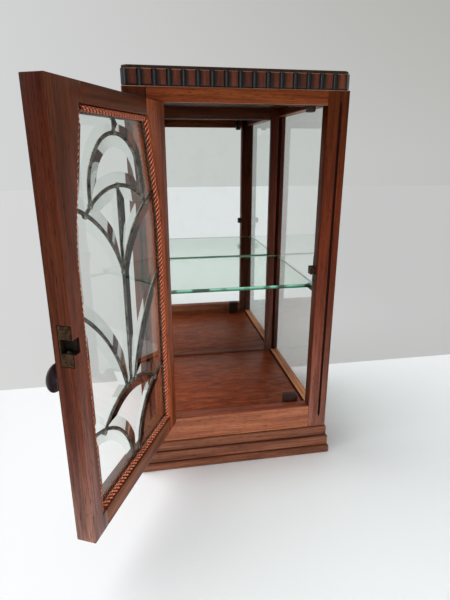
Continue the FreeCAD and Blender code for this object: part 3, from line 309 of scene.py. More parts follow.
# painted highlight along arrises that catch the light
paintedHighlightEdge = stainedWood("paintedHighlightArrisWood", "x", "rubbed")
topStain = ebonisedWood("eboniseTopStain", "#24150f", "#3f281d", 0.42, gloss=0.45)
knobStain = ebonisedWood("eboniseKnobStain", "#282124", "#3f3639", 0.32)
stopStain = ebonisedWood("eboniseStopStain", "#1f0f0a", "#36190f", 0.5)
leadSkin = agedMetal("leadCameOxide", "#3a3835", "#8f8c83", 9, 0.27)
tinSolder = agedMetal("tinSolderBright", "#6a6961", "#aaa79b", 4, 0.32)
oldBrass = agedMetal("brassTarnished", "#33281a", "#6e5836", 6, 0.45)
brownedBrass = agedMetal("brassBrowned", "#261a12", "#57432f", 5, 0.45)
ballSteel = agedMetal("ballSteelDull", "#1d1c1b", "#3b3936", 4, 0.45)
slotDarkened = agedMetal("brassSlotDarkened", "#120d07", "#2a2013", 4, 0.6, 0.6)
springSteel = agedMetal("springSteelDrawn", "#5b5b5c", "#8c8c8e", 5, 0.3)
sideGlass = sheetGlass("drawnSheetGlass", "#fafdfb")
leadedGlass = sheetGlass("bevelledPlateGlass", "#fafdfb")
shelfGlass = sheetGlass("floatShelfGlass", "#f6fbf8", "#6fe0b4", 10.0)
# painted reflection: the ground slopes tinted grey-green for the darker things seen through them
bevelGlass = sheetGlass("groundBevelGlass", "#dfe9e3")
mirrorSilver = silveredGlass("silveredMirrorGlass")
cordCotton = dyedCotton("dyedCottonCord")
print("materials ready")


def pickNone():
    bpy.ops.object.select_all(action="DESELECT")


def pickOnly(piece):
    pickNone()
    piece.select_set(True)
    bpy.context.view_layer.objects.active = piece


def applyPlace():
    bpy.ops.object.transform_apply(location=True, rotation=True, scale=True)


def startEdit(piece):
    pickOnly(piece)
    bpy.ops.object.mode_set(mode="EDIT")
    bpy.ops.mesh.select_mode(type="VERT")
    bpy.ops.mesh.select_all(action="SELECT")


def endEdit():
    bpy.ops.object.mode_set(mode="OBJECT")


def pickEdges(piece, wanted):
    bpy.ops.mesh.select_mode(type="EDGE")
    bpy.ops.mesh.select_all(action="DESELECT")
    for edge in bmesh.from_edit_mesh(piece.data).edges:
        edge.select = wanted(edge)
    bmesh.update_edit_mesh(piece.data)


def squaredBar(name, low, high, ease=0.0, segments=2):
    pickNone()
    bpy.ops.mesh.primitive_cube_add(size=1, location=[(a + b) / 2 * mm for a, b in zip(low, high)])
    piece = bpy.context.object
    piece.name = name
    piece.scale = [(b - a) * mm for a, b in zip(low, high)]
    applyPlace()
    if ease:
        startEdit(piece)
        bpy.ops.mesh.bevel(offset=ease * mm, segments=segments, affect="EDGES")
        endEdit()
    return piece


def turnedRod(name, start, radius, length, sides=32):
    pickNone()
    bpy.ops.mesh.primitive_cylinder_add(
        vertices=sides, radius=radius * mm, depth=length * mm,
        location=(Vector(start) + Vector((0, 0, length / 2))) * mm)
    piece = bpy.context.object
    piece.name = name
    applyPlace()
    return piece


def joinPieces(pieces, name):
    pickOnly(pieces[0])
    for other in pieces[1:]:
        other.select_set(True)
    bpy.ops.object.join()
    pieces[0].name = name
    return pieces[0]


def workWith(piece, tool, operation="DIFFERENCE"):
    pickOnly(piece)
    step = piece.modifiers.new("work", "BOOLEAN")
    step.operation = operation
    step.solver = "EXACT"
    step.object = tool
    bpy.ops.object.modifier_apply(modifier=step.name)
    bpy.data.objects.remove(tool)
    return piece


def smoothForm(piece):
    smoother = piece.modifiers.new("smoother", "SUBSURF")
    smoother.levels = smoother.render_levels = 1
    bpy.ops.object.modifier_apply(modifier=smoother.name)
    return piece


def sawOff(piece, point, outward):
    startEdit(piece)
    bpy.ops.mesh.bisect(
        plane_co=[p * mm for p in point], plane_no=outward, use_fill=True, clear_outer=True, threshold=1e-7)
    endEdit()


def copyOf(piece, name):
    twin = bpy.data.objects.new(name, piece.data.copy())
    scene.collection.objects.link(twin)
    return twin


def setPlace(piece, place=(0, 0, 0), turn=(0, 0, 0), scale=(1, 1, 1)):
    pickOnly(piece)
    piece.scale = scale
    piece.rotation_euler = turn
    piece.location = [p * mm for p in place]
    applyPlace()
    return piece


pinPlace = (-119.625, -151.0, 0.0)  # the hinge pin's axis, in millimetres
doorWay = Vector((math.cos(doorOpen), -math.sin(doorOpen), 0))  # the door's width, from the hinge to the knob
doorFront = Vector((-math.sin(doorOpen), -math.cos(doorOpen), 0))  # straight out of the door's outer face


def hangDoorPiece(piece):
    return setPlace(piece, pinPlace, (0, 0, -doorOpen))


def finishPiece(piece, material, body, slot, *replaced, smooth=35):
    for each in material if isinstance(material, list) else [material]:
        piece.data.materials.append(each)
    pickOnly(piece)
    bpy.ops.object.shade_smooth_by_angle(angle=math.radians(smooth))
    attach(piece, body)
    if replaced:
        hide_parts(*replaced)
    return piece


# gives faces a finish: a tone, painted shade or a painted highlight
def stainFaces(piece, index, wanted):
    for face in piece.data.polygons:
        if wanted(face):
            face.material_index = index


def facesInward(face, least, reach):  # towards the cabinet's middle, and no further from it than the reach
    return face.normal.x * face.center.x < 0 and abs(face.normal.x) > least and abs(face.center.x) < reach * mm


def mergedCopy(nodeName, name):
    piece = copyOf(cadNodes[nodeName], name)
    piece.data.materials.clear()
    startEdit(piece)
    bpy.ops.mesh.customdata_custom_splitnormals_clear()
    bpy.ops.mesh.remove_doubles(threshold=0.00001)
    endEdit()
    return piece


def softenedCopy(nodeName, name, ease, least=2.0):
    def isArris(edge):
        sharp = len(edge.link_faces) == 2 and edge.is_convex and edge.calc_face_angle() > 0.6
        return sharp and edge.calc_length() > least * mm

    piece = mergedCopy(nodeName, name)
    startEdit(piece)
    bpy.ops.mesh.dissolve_limited(angle_limit=math.radians(0.4))
    pickEdges(piece, isArris)
    bpy.ops.mesh.bevel(offset=ease * mm, segments=2, affect="EDGES", clamp_overlap=False)
    endEdit()
    return piece


def mitredRuns(front, rightName, leftName, half, backEnd, clip=0.0):
    right = setPlace(copyOf(front, rightName), turn=(0, 0, math.pi / 2))
    left = setPlace(copyOf(front, leftName), turn=(0, 0, -math.pi / 2))
    corner = half - clip / 2
    for piece, side, facing in ((front, -1, 1), (front, 1, 1), (right, 1, -1), (left, -1, -1)):
        sawOff(piece, (side * half, -half, 0), (side * facing, facing, 0))
        if clip:
            sawOff(piece, (side * corner, -corner, 0), (side, -1, 0))
    for piece in (right, left):
        sawOff(piece, (0, backEnd, 0), (0, 1, 0))
    return front, right, left


plinth = {  # each step's foot, top and how far it stands out past the posts
    "steps": ((0, 14, 7.5), (14, 32, 5.0), (32, 49, 2.5)),
    "inner": 120, "nose": 2.4, "half": 150, "quirk": 0.9, "core set back": 4.9, "dark from": 1.5,
}


def plinthMoulding(name):
    bars = []
    for low, high, reach in plinth["steps"]:
        end = plinth["half"] + reach
        core = end - plinth["core set back"]
        lip = high - plinth["quirk"]
        bars.append(squaredBar(
            f"{name}{high}", (-end, -end, low), (end, -plinth["inner"], lip), plinth["nose"], 4))
        bars.append(squaredBar(f"{name}Core{high}", (-core, -core, lip - 2), (core, -plinth["inner"], high + 1)))
    moulding = bars[0]
    for bar in bars[1:]:
        workWith(moulding, bar, "UNION")
    moulding.name = name
    sawOff(moulding, (0, 0, plinth["steps"][-1][1]), (0, 0, 1))
    return moulding


def inQuirk(face):
    out = max(abs(face.center.x), abs(face.center.y)) / mm - plinth["half"] + plinth["dark from"]
    level = face.center.z / mm
    return abs(face.normal.z) < 0.5 and any(
        -0.1 < high - level < plinth["quirk"] + 0.05 and out < reach for low, high, reach in plinth["steps"])


plinthRuns = mitredRuns(
    plinthMoulding("plinthFrontMoulding"), "plinthRightMoulding", "plinthLeftMoulding", plinth["half"], plinth["half"])
for piece, side, grain in zip(plinthRuns, ("front", "right", "left"), "xyy"):
    wood = stainedWood(piece.name + "Wood", grain, "plinth")
    finishPiece(piece, [wood, grooveShade], "cabinet", "carcass_wood", "plinth_" + side)
    stainFaces(piece, 1, inQuirk)  # painted shade inside the quirk over each step
print("plinth ready")

carcassBars = [  # name, node, low corner, high corner, grain, arris, and cuts as low and high corners
    ("plinthBackBoard", "plinth_back", (-120, 120, 0), (120, 150, 49), "x", 0.8, []),
    ("frontSillRail", "front_sill", (-120, -150, 49), (120, -130, 88), "x", 0.7, []),
    ("frontHeadRail", "front_head", (-120, -150, 545.5), (120, -130, 564.5), "x", 0.7, []),
    ("backSillRail", "back_sill", (-120, 130, 49), (120, 150, 67), "x", 0.7, [((-126, 136, 61), (126, 151, 70))]),
    ("backHeadRail", "back_head", (-120, 130, 545.5), (120, 150, 564.5), "x", 0.7, [
        ((-126, 136, 540), (126, 151, 551.5))]),
]
pairedBars = [  # the right one of each pair; the left one mirrors it
    ("{}SillRail", "{}_side_sill", (132, -130, 49), (150, 130, 67), "y", 0.7, [((130, -131, 61), (142, 131, 70))]),
    ("{}HeadRail", "{}_side_head", (132, -130, 551), (150, 130, 564.5), "y", 0.7, [
        ((130, -131, 548), (142, 131, 557))]),
    ("front{}Post", "front_{}_post", (120, -150, 49), (150, -130, 564.5), "z", 1.0, [
        ((138.7, -135, 60.9), (142.1, -129, 557.1))]),
    ("rear{}Post", "rear_{}_post", (120, 130, 49), (150, 150, 564.5), "z", 1.0, [
        ((110, 136, 61), (126, 151, 551.5)), ((134.2, 129, 60.9), (142.1, 135, 557.1))]),
]
metalGains = {  # let-ins for the striker and the hinge leaves
    "frontRightPost": [((119, -143.1, 295.9), (121.6, -129.4, 336.1))],
    "frontLeftPost": [((-121.6, -152, 134.4), (-119, -133.9, 184.6)), ((-121.6, -152, 448.9), (-119, -133.9, 499.1))],
}
# the back head rail and the rear posts take painted-shade tones
barTones = {
    "frontSillRail": "sill", "frontHeadRail": "head", "plinthBackBoard": "plinth", "rightSillRail": "lip",
    "leftSillRail": "lip", "backHeadRail": "inner", "rearRightPost": "rear", "rearLeftPost": "rear",
}
postGroove = {
    "middle": 138, "face": -150.2, "low": 65, "high": 553.5, "radius": 1.9, "run out": 9, "dark": (-149.97, -146),
}
glassGroove = ((134.1, 142.2), (130.05, 135.1), (60, 558))  # where the side glass enters a post, from the middle
postTop = 563.5
innerReach = {"post": 123, "sill": 135, "bead": 150}  # millimetres from the middle to what faces the inside


def mirrored(low, high):
    return (-high[0], *low[1:]), (-low[0], *high[1:])


for name, node, low, high, grain, ease, cuts in pairedBars:
    for side in ("right", "left"):
        barName = name.format(side if name.startswith("{") else side.title())
        corners = [(low, high), *cuts]
        if side == "left":
            corners = [mirrored(*pair) for pair in corners]
        barCuts = corners[1:] + metalGains.get(barName, [])
        carcassBars.append((barName, node.format(side), *corners[0], grain, ease, barCuts))


def grooveTool(side):
    middle = side * postGroove["middle"]
    length = postGroove["high"] - postGroove["low"] - 2 * postGroove["run out"]
    between = (postGroove["high"] + postGroove["low"]) / 2
    pickNone()
    bpy.ops.mesh.primitive_cylinder_add(
        vertices=16, radius=postGroove["radius"] * mm, depth=length * mm, end_fill_type="TRIFAN",
        location=(middle * mm, postGroove["face"] * mm, between * mm))
    tool = bpy.context.object
    applyPlace()
    for point in tool.data.vertices:  # the cutter lifts out to a point
        if abs(point.co.x / mm - middle) < 0.01 and abs(point.co.y / mm - postGroove["face"]) < 0.01:
            point.co.z = postGroove["high" if point.co.z > between * mm else "low"] * mm
    return tool


def inStoppedGroove(face):
    off = abs(abs(face.center.x) / mm - postGroove["middle"])
    front, back = postGroove["dark"]
    return off < postGroove["radius"] and front < face.center.y / mm < back


def inGlassGroove(face):
    return all(low < abs(p) / mm < high for p, (low, high) in zip(face.center, glassGroove))


for name, node, low, high, grain, ease, cuts in carcassBars:
    piece = squaredBar(name, low, high, ease)
    for cut in cuts:
        workWith(piece, squaredBar("cutter", *cut))
    frontPost = name in metalGains
    if frontPost:
        workWith(piece, grooveTool(1 if "Right" in name else -1))
    tone = barTones.get(name, "post" if "Post" in name else "carcass")
    woods = [stainedWood(name + "Wood", grain, tone), grooveShade, paintedHighlightEdge]
    if "Post" in name:
        woods.append(rebateShade)
    if frontPost:
        woods.append(stainedWood(name + "InnerWood", grain, "postInner"))
    # painted shade under the head rail
    if name == "frontHeadRail":
        woods[1] = stainedWood("frontHeadUnderWood", grain, "underside")
    if name == "frontSillRail":
        woods[1] = stainedWood("frontSillLedgeWood", grain, "ledge")
    finishPiece(piece, woods, "cabinet", "carcass_wood", node)
    # a painted highlight on the upper arris, below the cornice
    if frontPost or name == "frontHeadRail":
        stainFaces(piece, 2, lambda face: face.normal.z > 0.3 and face.center.z > postTop * mm)
    if "Post" in name:  # painted shade inside the groove for the glass and inside the stopped groove
        stainFaces(piece, 3, inGlassGroove)
        stainFaces(piece, 1, inStoppedGroove)
    # painted shade on the faces towards the inside
    if frontPost:
        stainFaces(piece, 4, lambda face: facesInward(face, 0.7, innerReach["post"]))
    if name == "frontHeadRail":  # painted shade underneath, and a painted highlight on the lower arris
        stainFaces(piece, 2, lambda face: face.normal.z < -0.3)
        stainFaces(piece, 1, lambda face: face.normal.z < -0.97)
    if name in ("rightSillRail", "leftSillRail"):
        # painted shade on the inner faces along the floor
        stainFaces(piece, 1, lambda face: facesInward(face, 0.85, innerReach["sill"]))
    if name == "frontSillRail":
        stainFaces(piece, 1, lambda face: face.normal.z > 0.8)

innerBoards = [  # name, node, low corner, high corner, grain, tone, slot, arris
    ("floorBoard", "floor_board", (-128.4, -129.9, 49), (128.4, 129.9, 65), "x", "floor", "floor_wood", 0.5),
    # the ceiling takes the painted-shade tone of the inside
    ("ceilingBoard", "ceiling_board", (-135.9, -135.9, 564.5), (135.9, 135.9, 574.5), "x", "inner",
     "carcass_wood", 0.5),
    ("baseBoard", "base_board", (-119.9, -119.9, 0), (119.9, 119.9, 8), "x", "plain", "plain_board", 0.5),
    ("backingBoard", "backing_board", (-125.7, 140, 61), (125.7, 145, 551.2), "z", "plain", "plain_board", 0.4),
]
for name, node, low, high, grain, tone, slot, ease in innerBoards:
    piece = squaredBar(name, low, high, ease)
    figured = {"wild": 2.2, "figure": 0.3} if tone == "floor" else {"wild": 0.4}
    finishPiece(piece, stainedWood(name + "Wood", grain, tone, **figured), "cabinet", slot, node)

sideBeads = [((132, -129.9, 61), (138.7, 129.9, 67)), ((132, -129.9, 551), (138.7, 129.9, 557))]
beadRuns = {
    "rightGlazingBeads": ("right_glazing_beads", "y", sideBeads),
    "leftGlazingBeads": ("left_glazing_beads", "y", [mirrored(*bead) for bead in sideBeads]),
    "backGlazingBeads": ("back_beads", "x", [
        ((120, 145, 67), (125.9, 150, 545.5)), ((-125.9, 145, 67), (-120, 150, 545.5)),
        ((-125.9, 145, 61), (125.9, 150, 67)), ((-125.9, 145, 545.5), (125.9, 150, 551.4))]),
}
beadArris = 0.9
midHeight = 0.3  # metres; upper beads lie above it and lower beads below
for name, (node, grain, runs) in beadRuns.items():
    bars = [squaredBar(f"{name}{count}", low, high, beadArris, 3) for count, (low, high) in enumerate(runs)]
    piece = joinPieces(bars, name)
    footWood = stainedWood(name + "Wood", grain, "bead")
    upperWood = stainedWood(name + "UpperWood", grain, "carcass")  # the upper beads are drawn in the carcass tone, darker than the foot beads
    finishPiece(piece, [footWood, upperWood, grooveShade], "cabinet", "bead_wood", node)
    stainFaces(piece, 1, lambda face: face.center.z > midHeight and face.normal.z > -0.3)
    stainFaces(  # painted shade on the inward faces along the floor
        piece, 2, lambda face: face.center.z < midHeight and facesInward(face, 0.85, innerReach["bead"]))
print("carcass ready")

cornice = {
    "half": 150, "inner": 136, "low": 564.5, "high": 584.5, "flutes": 15, "flute radius": 3.5, "flute depth": 2.2,
    "flute top": 584.0, "corner": 6.0, "arris": 1.2, "quirk": 0.9, "core": 147, "back": 148, "top": 588,
    "top set back": 1.2, "top arris": 0.9, "back arris": 0.7, "rubbed": 1.4,
}


def corniceBoard(name):
    end, core, low, inner = cornice["half"], cornice["core"], cornice["low"], -cornice["inner"]
    board = squaredBar(name, (-end, -end, low + cornice["quirk"]), (end, inner, cornice["high"]), cornice["arris"])
    workWith(board, squaredBar("corniceCore", (-core, -core, low), (core, inner, low + 3)), "UNION")
    bits = []
    for count in range(cornice["flutes"]):
        fromMiddle = count - (cornice["flutes"] - 1) / 2
        start = (fromMiddle * reedPitch / mm, cornice["flute depth"] - end - cornice["flute radius"], low - 2)
        bits.append(turnedRod("fluteBit", start, cornice["flute radius"], cornice["flute top"] - start[2]))
    return workWith(board, joinPieces(bits, "fluteBits"))


def stainFlutes(piece, node, axis):
    along = "XY"[1 - axis]

    def inFlute(face):
        depth = cornice["half"] * mm - abs(face.center[axis])
        between = abs(face.center[1 - axis]) < (cornice["half"] - cornice["corner"]) * mm
        clipped = min(abs(face.normal.x), abs(face.normal.y)) > 0.6 and not between
        return clipped or between and 0.00002 < depth < 0.0025 and abs(face.normal.z) < 0.5

    # the ribs take the painted shade across the reeds
    wood = stainedWood(piece.name + "Wood", "z", "cornice", reeds=along)
    finishPiece(piece, [wood, flutePaint[along], paintedHighlightEdge], "cabinet", "carcass_wood", node, smooth=30)
    stainFaces(piece, 1, inFlute)
    # a painted highlight on the cornice's upper bevel
    upper = (cornice["high"] - cornice["rubbed"]) * mm
    stainFaces(piece, 2, lambda face: 0.3 < face.normal.z < 0.97 and face.center.z > upper)


corniceRuns = mitredRuns(
    corniceBoard("corniceFront"), "corniceRight", "corniceLeft", cornice["half"], cornice["inner"], cornice["corner"])
for piece, side, axis in zip(corniceRuns, ("front", "right", "left"), (1, 0, 0)):
    stainFlutes(piece, "cornice_" + side, axis)
backCornice = squaredBar(
    "corniceBack", (-cornice["half"], cornice["inner"], cornice["low"]),
    (cornice["half"], cornice["back"], cornice["high"]), cornice["back arris"])
finishPiece(backCornice, stainedWood("corniceBackWood", "x", "cornice"), "cabinet", "carcass_wood", "cornice_back")

topHalf = cornice["half"] - cornice["top set back"]
topBoard = squaredBar("topBoard", (-topHalf, -topHalf, cornice["high"]), (topHalf, topHalf, cornice["top"]))
startEdit(topBoard)
pickEdges(topBoard, lambda edge: abs(edge.verts[0].co.z - edge.verts[1].co.z) > 0.001)
bpy.ops.mesh.bevel(offset=cornice["corner"] * mm, segments=1, affect="EDGES")
bpy.ops.mesh.select_all(action="SELECT")
bpy.ops.mesh.bevel(offset=cornice["top arris"] * mm, segments=3, affect="EDGES")
endEdit()
finishPiece(topBoard, topStain, "cabinet", "ebonised_wood", "top_board")
print("cornice ready")

stopBlocks = {
    "lowerStopBlock": ("lower_stop", (86, -127.2, 65), (108, -111.2, 96)),
    "upperStopBlock": ("upper_stop", (102.2, -127.2, 539.5), (111.6, -111.2, 564.5)),
}
stopArris = 1.0
for name, (node, low, high) in stopBlocks.items():
    finishPiece(squaredBar(name, low, high, stopArris), stopStain, "cabinet", "ebonised_wood", node)

shelf = {"low": (-138.4, -92, 275), "high": (138.4, 129.4, 281), "arris": 0.7}
shelfPane = squaredBar("glassShelfPane", shelf["low"], shelf["high"], shelf["arris"])
# Ground edge of the shelf: the green of the glass's thickness with a painted glow,
# lighter along the upper arris as a painted highlight, in bright and dark stretches of painted glow.
edgeGlass, tree, shader = blankMaterial(
    "groundEdgeGlass", {"Roughness": 0.25, "IOR": 1.52, "Transmission Weight": 0.25})
seat = addNode(tree, "TexCoord").outputs["Object"]
split = addNode(tree, "SeparateXYZ", None, {0: seat})
level = addNode(
    tree, "MapRange", {"From Min": shelf["low"][2] * mm, "From Max": shelf["high"][2] * mm},
    {"Value": split.outputs["Z"]})
green = addNode(tree, "ValToRGB", {"stops": ((0.15, "#1c523b"), (0.5, "#57b08b"), (0.8, "#a3e6c9"))}, {0: level})
stretches = addNode(tree, "Mapping", {"Scale": (1 / 0.024, 1 / 0.024, 1 / 0.2)}, {"Vector": seat})
depths = addNode(tree, "TexNoise", {"Scale": 1.0, "Detail": 1.0}, {"Vector": stretches})
glowStretches = addNode(tree, "ValToRGB", {"stops": ((0.4, "#2f4f42"), (0.5, "#ffffff"))}, {0: depths})
varied = addNode(tree, "Mix", {**multiplied, 0: 0.9}, {6: green, 7: glowStretches})
linkInto(tree, shader, {"Base Color": varied.outputs[2]})
# Ground far edge, seen through the shelf: pale and dull, a painted glow of the light that the edge carries.
farEdge = blankMaterial("groundFarEdgeGlass", {"Base Color": "#a8dcc6", "Roughness": 0.4})[0]
finishPiece(shelfPane, [shelfGlass, edgeGlass, farEdge], "cabinet", "shelf_pane", "glass_shelf", smooth=20)
stainFaces(shelfPane, 1, lambda face: abs(face.normal.z) < 0.9)
stainFaces(shelfPane, 2, lambda face: face.normal.y > 0.9)

# Ground edge of a side pane: grey-green and dull, painted dark as the shade of the groove it sits in.
paneEdge = blankMaterial("groundPaneEdge", {"Base Color": "#141a17", "Roughness": 0.7, "Specular IOR Level": 0.1})[0]
for side in ("right", "left"):
    pane = mergedCopy(side + "_side_glass", side + "SidePane")
    finishPiece(pane, [sideGlass, paneEdge], "cabinet", "side_pane", side + "_side_glass", smooth=20)
    stainFaces(pane, 1, lambda face: abs(face.normal.x) < 0.5)

keptFinishes = {"mirror": mirrorSilver, "shelf_pins": oldBrass, "striker": brownedBrass}
for end in ("lower", "upper"):
    keptFinishes["catch_ball_" + end] = ballSteel
    for metal in ("hinge_post_leaf_", "hinge_door_leaf_", "hinge_pin_"):
        keptFinishes[metal + end] = oldBrass
for nodeName, material in keptFinishes.items():
    cadNodes[nodeName].data.materials.clear()
    cadNodes[nodeName].data.materials.append(material)

screwHead = {"radius": 2.35, "height": 0.9, "ease": 0.25, "slot": 0.6, "slot depth": 0.45, "first": 0.5, "turn": 1.1}


def slottedScrew():
    head = turnedRod("screwHead", (0, 0, -screwHead["height"]), screwHead["radius"], screwHead["height"], 28)
    startEdit(head)
    pickEdges(head, lambda edge: all(point.co.z > -0.00001 for point in edge.verts))
    bpy.ops.mesh.bevel(offset=screwHead["ease"] * mm, segments=2, affect="EDGES")
    endEdit()
    wide, half = screwHead["radius"] + 1, screwHead["slot"] / 2
    return workWith(head, squaredBar("slotSaw", (-wide, -half, -screwHead["slot depth"]), (wide, half, 1)))


catch = {  # millimetres in the door's own frame, from the hinge pin
    "edge": 238.125, "middle": 14.75, "near": 8.0, "wall": 1.3, "slot": 14, "level": 316, "depth": 8.3,
    "pocket high": 21.0, "pocket deep": 10.0, "dark": (0.6, 9.2), "post": 239.625, "case screws": 17.2,
    "striker screws": 15.2,
}
hinge = {"feet": (134.5, 449), "middle": 25, "screw pitch": 16, "screw in": 10, "face": 0.375}
hingeLevels = [
    foot + hinge["middle"] + step * hinge["screw pitch"] for foot in hinge["feet"] for step in (-1, 0, 1)]
masterScrew = slottedScrew()
screwGroups = {  # node: body, side the heads face, swing, and places from the hinge pin
    "hinge_post_screws": ("cabinet", 1, 0.0, [(-hinge["face"], hinge["screw in"], z) for z in hingeLevels]),
    "hinge_door_screws": ("door", -1, -doorOpen, [
        (hinge["face"], hinge["screw in"], z) for z in hingeLevels]),
    "catch_screw_pair": ("door", 1, -doorOpen, [
        (catch["edge"], catch["middle"], catch["level"] + way * catch["case screws"]) for way in (-1, 1)]),
    "striker_screw_pair": ("cabinet", -1, 0.0, [
        (catch["post"], catch["middle"], catch["level"] + way * catch["striker screws"]) for way in (-1, 1)]),
}
for node, (body, faces, swing, places) in screwGroups.items():
    heads = []
    for count, place in enumerate(places):
        head = copyOf(masterScrew, f"{node}{count}")
        setPlace(head, turn=(0, 0, screwHead["first"] + screwHead["turn"] * count))
        heads.append(setPlace(head, place, (0, faces * math.pi / 2, 0)))
    group = setPlace(joinPieces(heads, node + "Slotted"), pinPlace, (0, 0, swing))
    finishPiece(group, oldBrass if "hinge" in node else brownedBrass, body, "old_brass", node)
bpy.data.objects.remove(masterScrew)
print("metalwork ready")

doorFrame = [
    ("door_hinge_stile", "doorHingeStile", "z", "hingeStile"), ("door_lock_stile", "doorLockStile", "z", "door"),
    ("door_top_rail", "doorTopRail", "x", "door"), ("door_bottom_rail", "doorBottomRail", "x", "footRail"),
]


def fromCatch(face):  # how deep behind the door's edge, and how far above or below the catch
    deep = catch["edge"] - (face.center - Vector(pinPlace) * mm).dot(doorWay) / mm
    return deep, abs(face.center.z / mm - catch["level"])


def inPocket(face):
    deep, rise = fromCatch(face)
    return 0.1 < deep < catch["pocket deep"] and rise < catch["pocket high"]


def inSlot(face):
    deep, rise = fromCatch(face)
    return catch["dark"][0] < deep < catch["dark"][1] and rise < catch["slot"] / 2 + 0.2


doorArris = 0.8
for node, name, grain, tone in doorFrame:
    piece = softenedCopy(node, name, doorArris)
    woods = [stainedWood(name + "Wood", grain, tone, turn=doorOpen)]
    if node == "door_lock_stile":
        woods += [stainedWood("doorLockEdgeWood", grain, "stileEdge", turn=doorOpen), grooveShade]
    finishPiece(piece, woods, "door", "door_wood", node)
    if node == "door_lock_stile":  # the edge is drawn in its own tone, and the let-in for the catch is painted dark as shade
        stainFaces(piece, 1, lambda face: face.normal.dot(doorWay) > 0.9)
        stainFaces(piece, 2, inPocket)

slotHalf = catch["slot"] / 2 + 0.05
slotEnd = squaredBar(
    "slotEnd", (catch["edge"] - catch["depth"], catch["near"], catch["level"] - slotHalf),
    (catch["edge"] - 0.02, catch["near"] + catch["wall"], catch["level"] + slotHalf), 0.2)
casePiece = joinPieces([mergedCopy("catch_case", "ballCatchCase"), hangDoorPiece(slotEnd)], "ballCatchCase")
finishPiece(casePiece, [brownedBrass, slotDarkened], "door", "old_brass", "catch_case")
stainFaces(casePiece, 1, inSlot)  # the slot's inside is drawn dark
for end in ("upper", "lower"):
    coil = mergedCopy("catch_spring_" + end, end + "CatchSpring")
    finishPiece(coil, springSteel, "door", "spring_steel", "catch_spring_" + end, smooth=60)
    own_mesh(coil)

knob = {"x": 224.375, "z": 275, "face": 1.0, "turns": 48, "profile": (  # half its width, and how far it stands out
    (0.0, -17.4), (4.4, -17.1), (8.4, -16.2), (11.7, -14.8), (14.0, -13.0), (15.2, -11.2), (15.1, -10.2),
    (13.2, -9.6), (9.4, -9.2), (6.4, -8.3), (5.1, -6.8), (4.8, -4.6), (5.4, -2.6), (7.2, -1.5), (7.6, 0.0))}


def turnedKnob():
    first = knob["profile"][0]
    pickNone()
    bpy.ops.mesh.primitive_plane_add(
        size=0.001, location=((knob["x"] + first[0]) * mm, (knob["face"] + first[1]) * mm, knob["z"] * mm))
    piece = bpy.context.object
    applyPlace()
    piece.name = "turnedKnob"
    startEdit(piece)
    bpy.ops.mesh.merge(type="CENTER")
    for (r0, y0), (r1, y1) in zip(knob["profile"], knob["profile"][1:]):
        bpy.ops.mesh.extrude_vertices_move(TRANSFORM_OT_translate={"value": ((r1 - r0) * mm, (y1 - y0) * mm, 0)})
    bpy.ops.mesh.select_all(action="SELECT")
    bpy.ops.mesh.spin(
        steps=knob["turns"], angle=2 * math.pi, center=(knob["x"] * mm, 0, knob["z"] * mm), axis=(0, 1, 0))
    bpy.ops.mesh.select_all(action="SELECT")
    bpy.ops.mesh.remove_doubles(threshold=0.00001)
    bpy.ops.mesh.fill_holes(sides=0)
    bpy.ops.mesh.normals_make_consistent(inside=False)
    endEdit()
    return smoothForm(piece)


finishPiece(hangDoorPiece(turnedKnob()), knobStain, "door", "ebonised_wood", "knob", smooth=60)

leaded = {  # the leaded panel, in millimetres from the door's middle line; a rise bows a came to the left of its run
    "middle": 119.25, "low": 118.5, "high": 518.0, "half": 91.375, "taper": 24.5, "taper height": 113.0,
    "bend": 250.0, "came width": 4.4, "near": 12.0, "far": 16.5, "rim": 5.2, "bevel": 14.0, "bevel depth": 1.45,
    "pane face": 12.9, "wheel over": 1.0,
}
cameRuns = [
    (0, 526, 0, 504.5, 0), (0, 452.3, 0, 220.7, 0), (-67.5, 428.0, 67.5, 428.0, 24.3),
    (-68.0, 192.5, 68.0, 192.5, 28.2), (-56.5, 448.0, 56.5, 448.0, 56.5),
]
for x0, z0, x1, z1, rise in (
        (56.5, 436.0, 56.5, 448.0, 0), (0, 358.3, 99.375, 440.4, 16.2), (11.0, 220.7, 99.375, 341.2, 13.3),
        (8.1, 110.5, 99.375, 200.7, 26.8)):
    cameRuns += [(x0, z0, x1, z1, rise), (-x1, z1, -x0, z0, rise)]
slope = math.atan2(leaded["taper"], leaded["taper height"])


def openingSide(grow):
    radius = leaded["bend"] + grow
    turn = leaded["high"] - leaded["taper height"] - leaded["bend"] * math.tan(slope / 2)
    half = leaded["half"] + grow
    bendEnd = (half - radius + radius * math.cos(slope), turn + radius * math.sin(slope))
    top = leaded["high"] + grow
    corner = (bendEnd[0] - (top - bendEnd[1]) * math.tan(slope), top)
    return (half, leaded["low"] - grow), (half, turn), bendEnd, corner


rimFoot, rimTurn, rimBend, rimCorner = openingSide(leaded["rim"])
bendRise = -(leaded["bend"] + leaded["rim"]) * (1 - math.cos(slope / 2))
rimRuns = [(-x, z, x, z, 0) for x, z in (rimFoot, rimCorner)]
for first, last, rise in ((rimFoot, rimTurn, 0), (rimTurn, rimBend, bendRise), (rimBend, rimCorner, 0)):
    rimRuns += [(*first, *last, rise), (-last[0], last[1], -first[0], first[1], rise)]


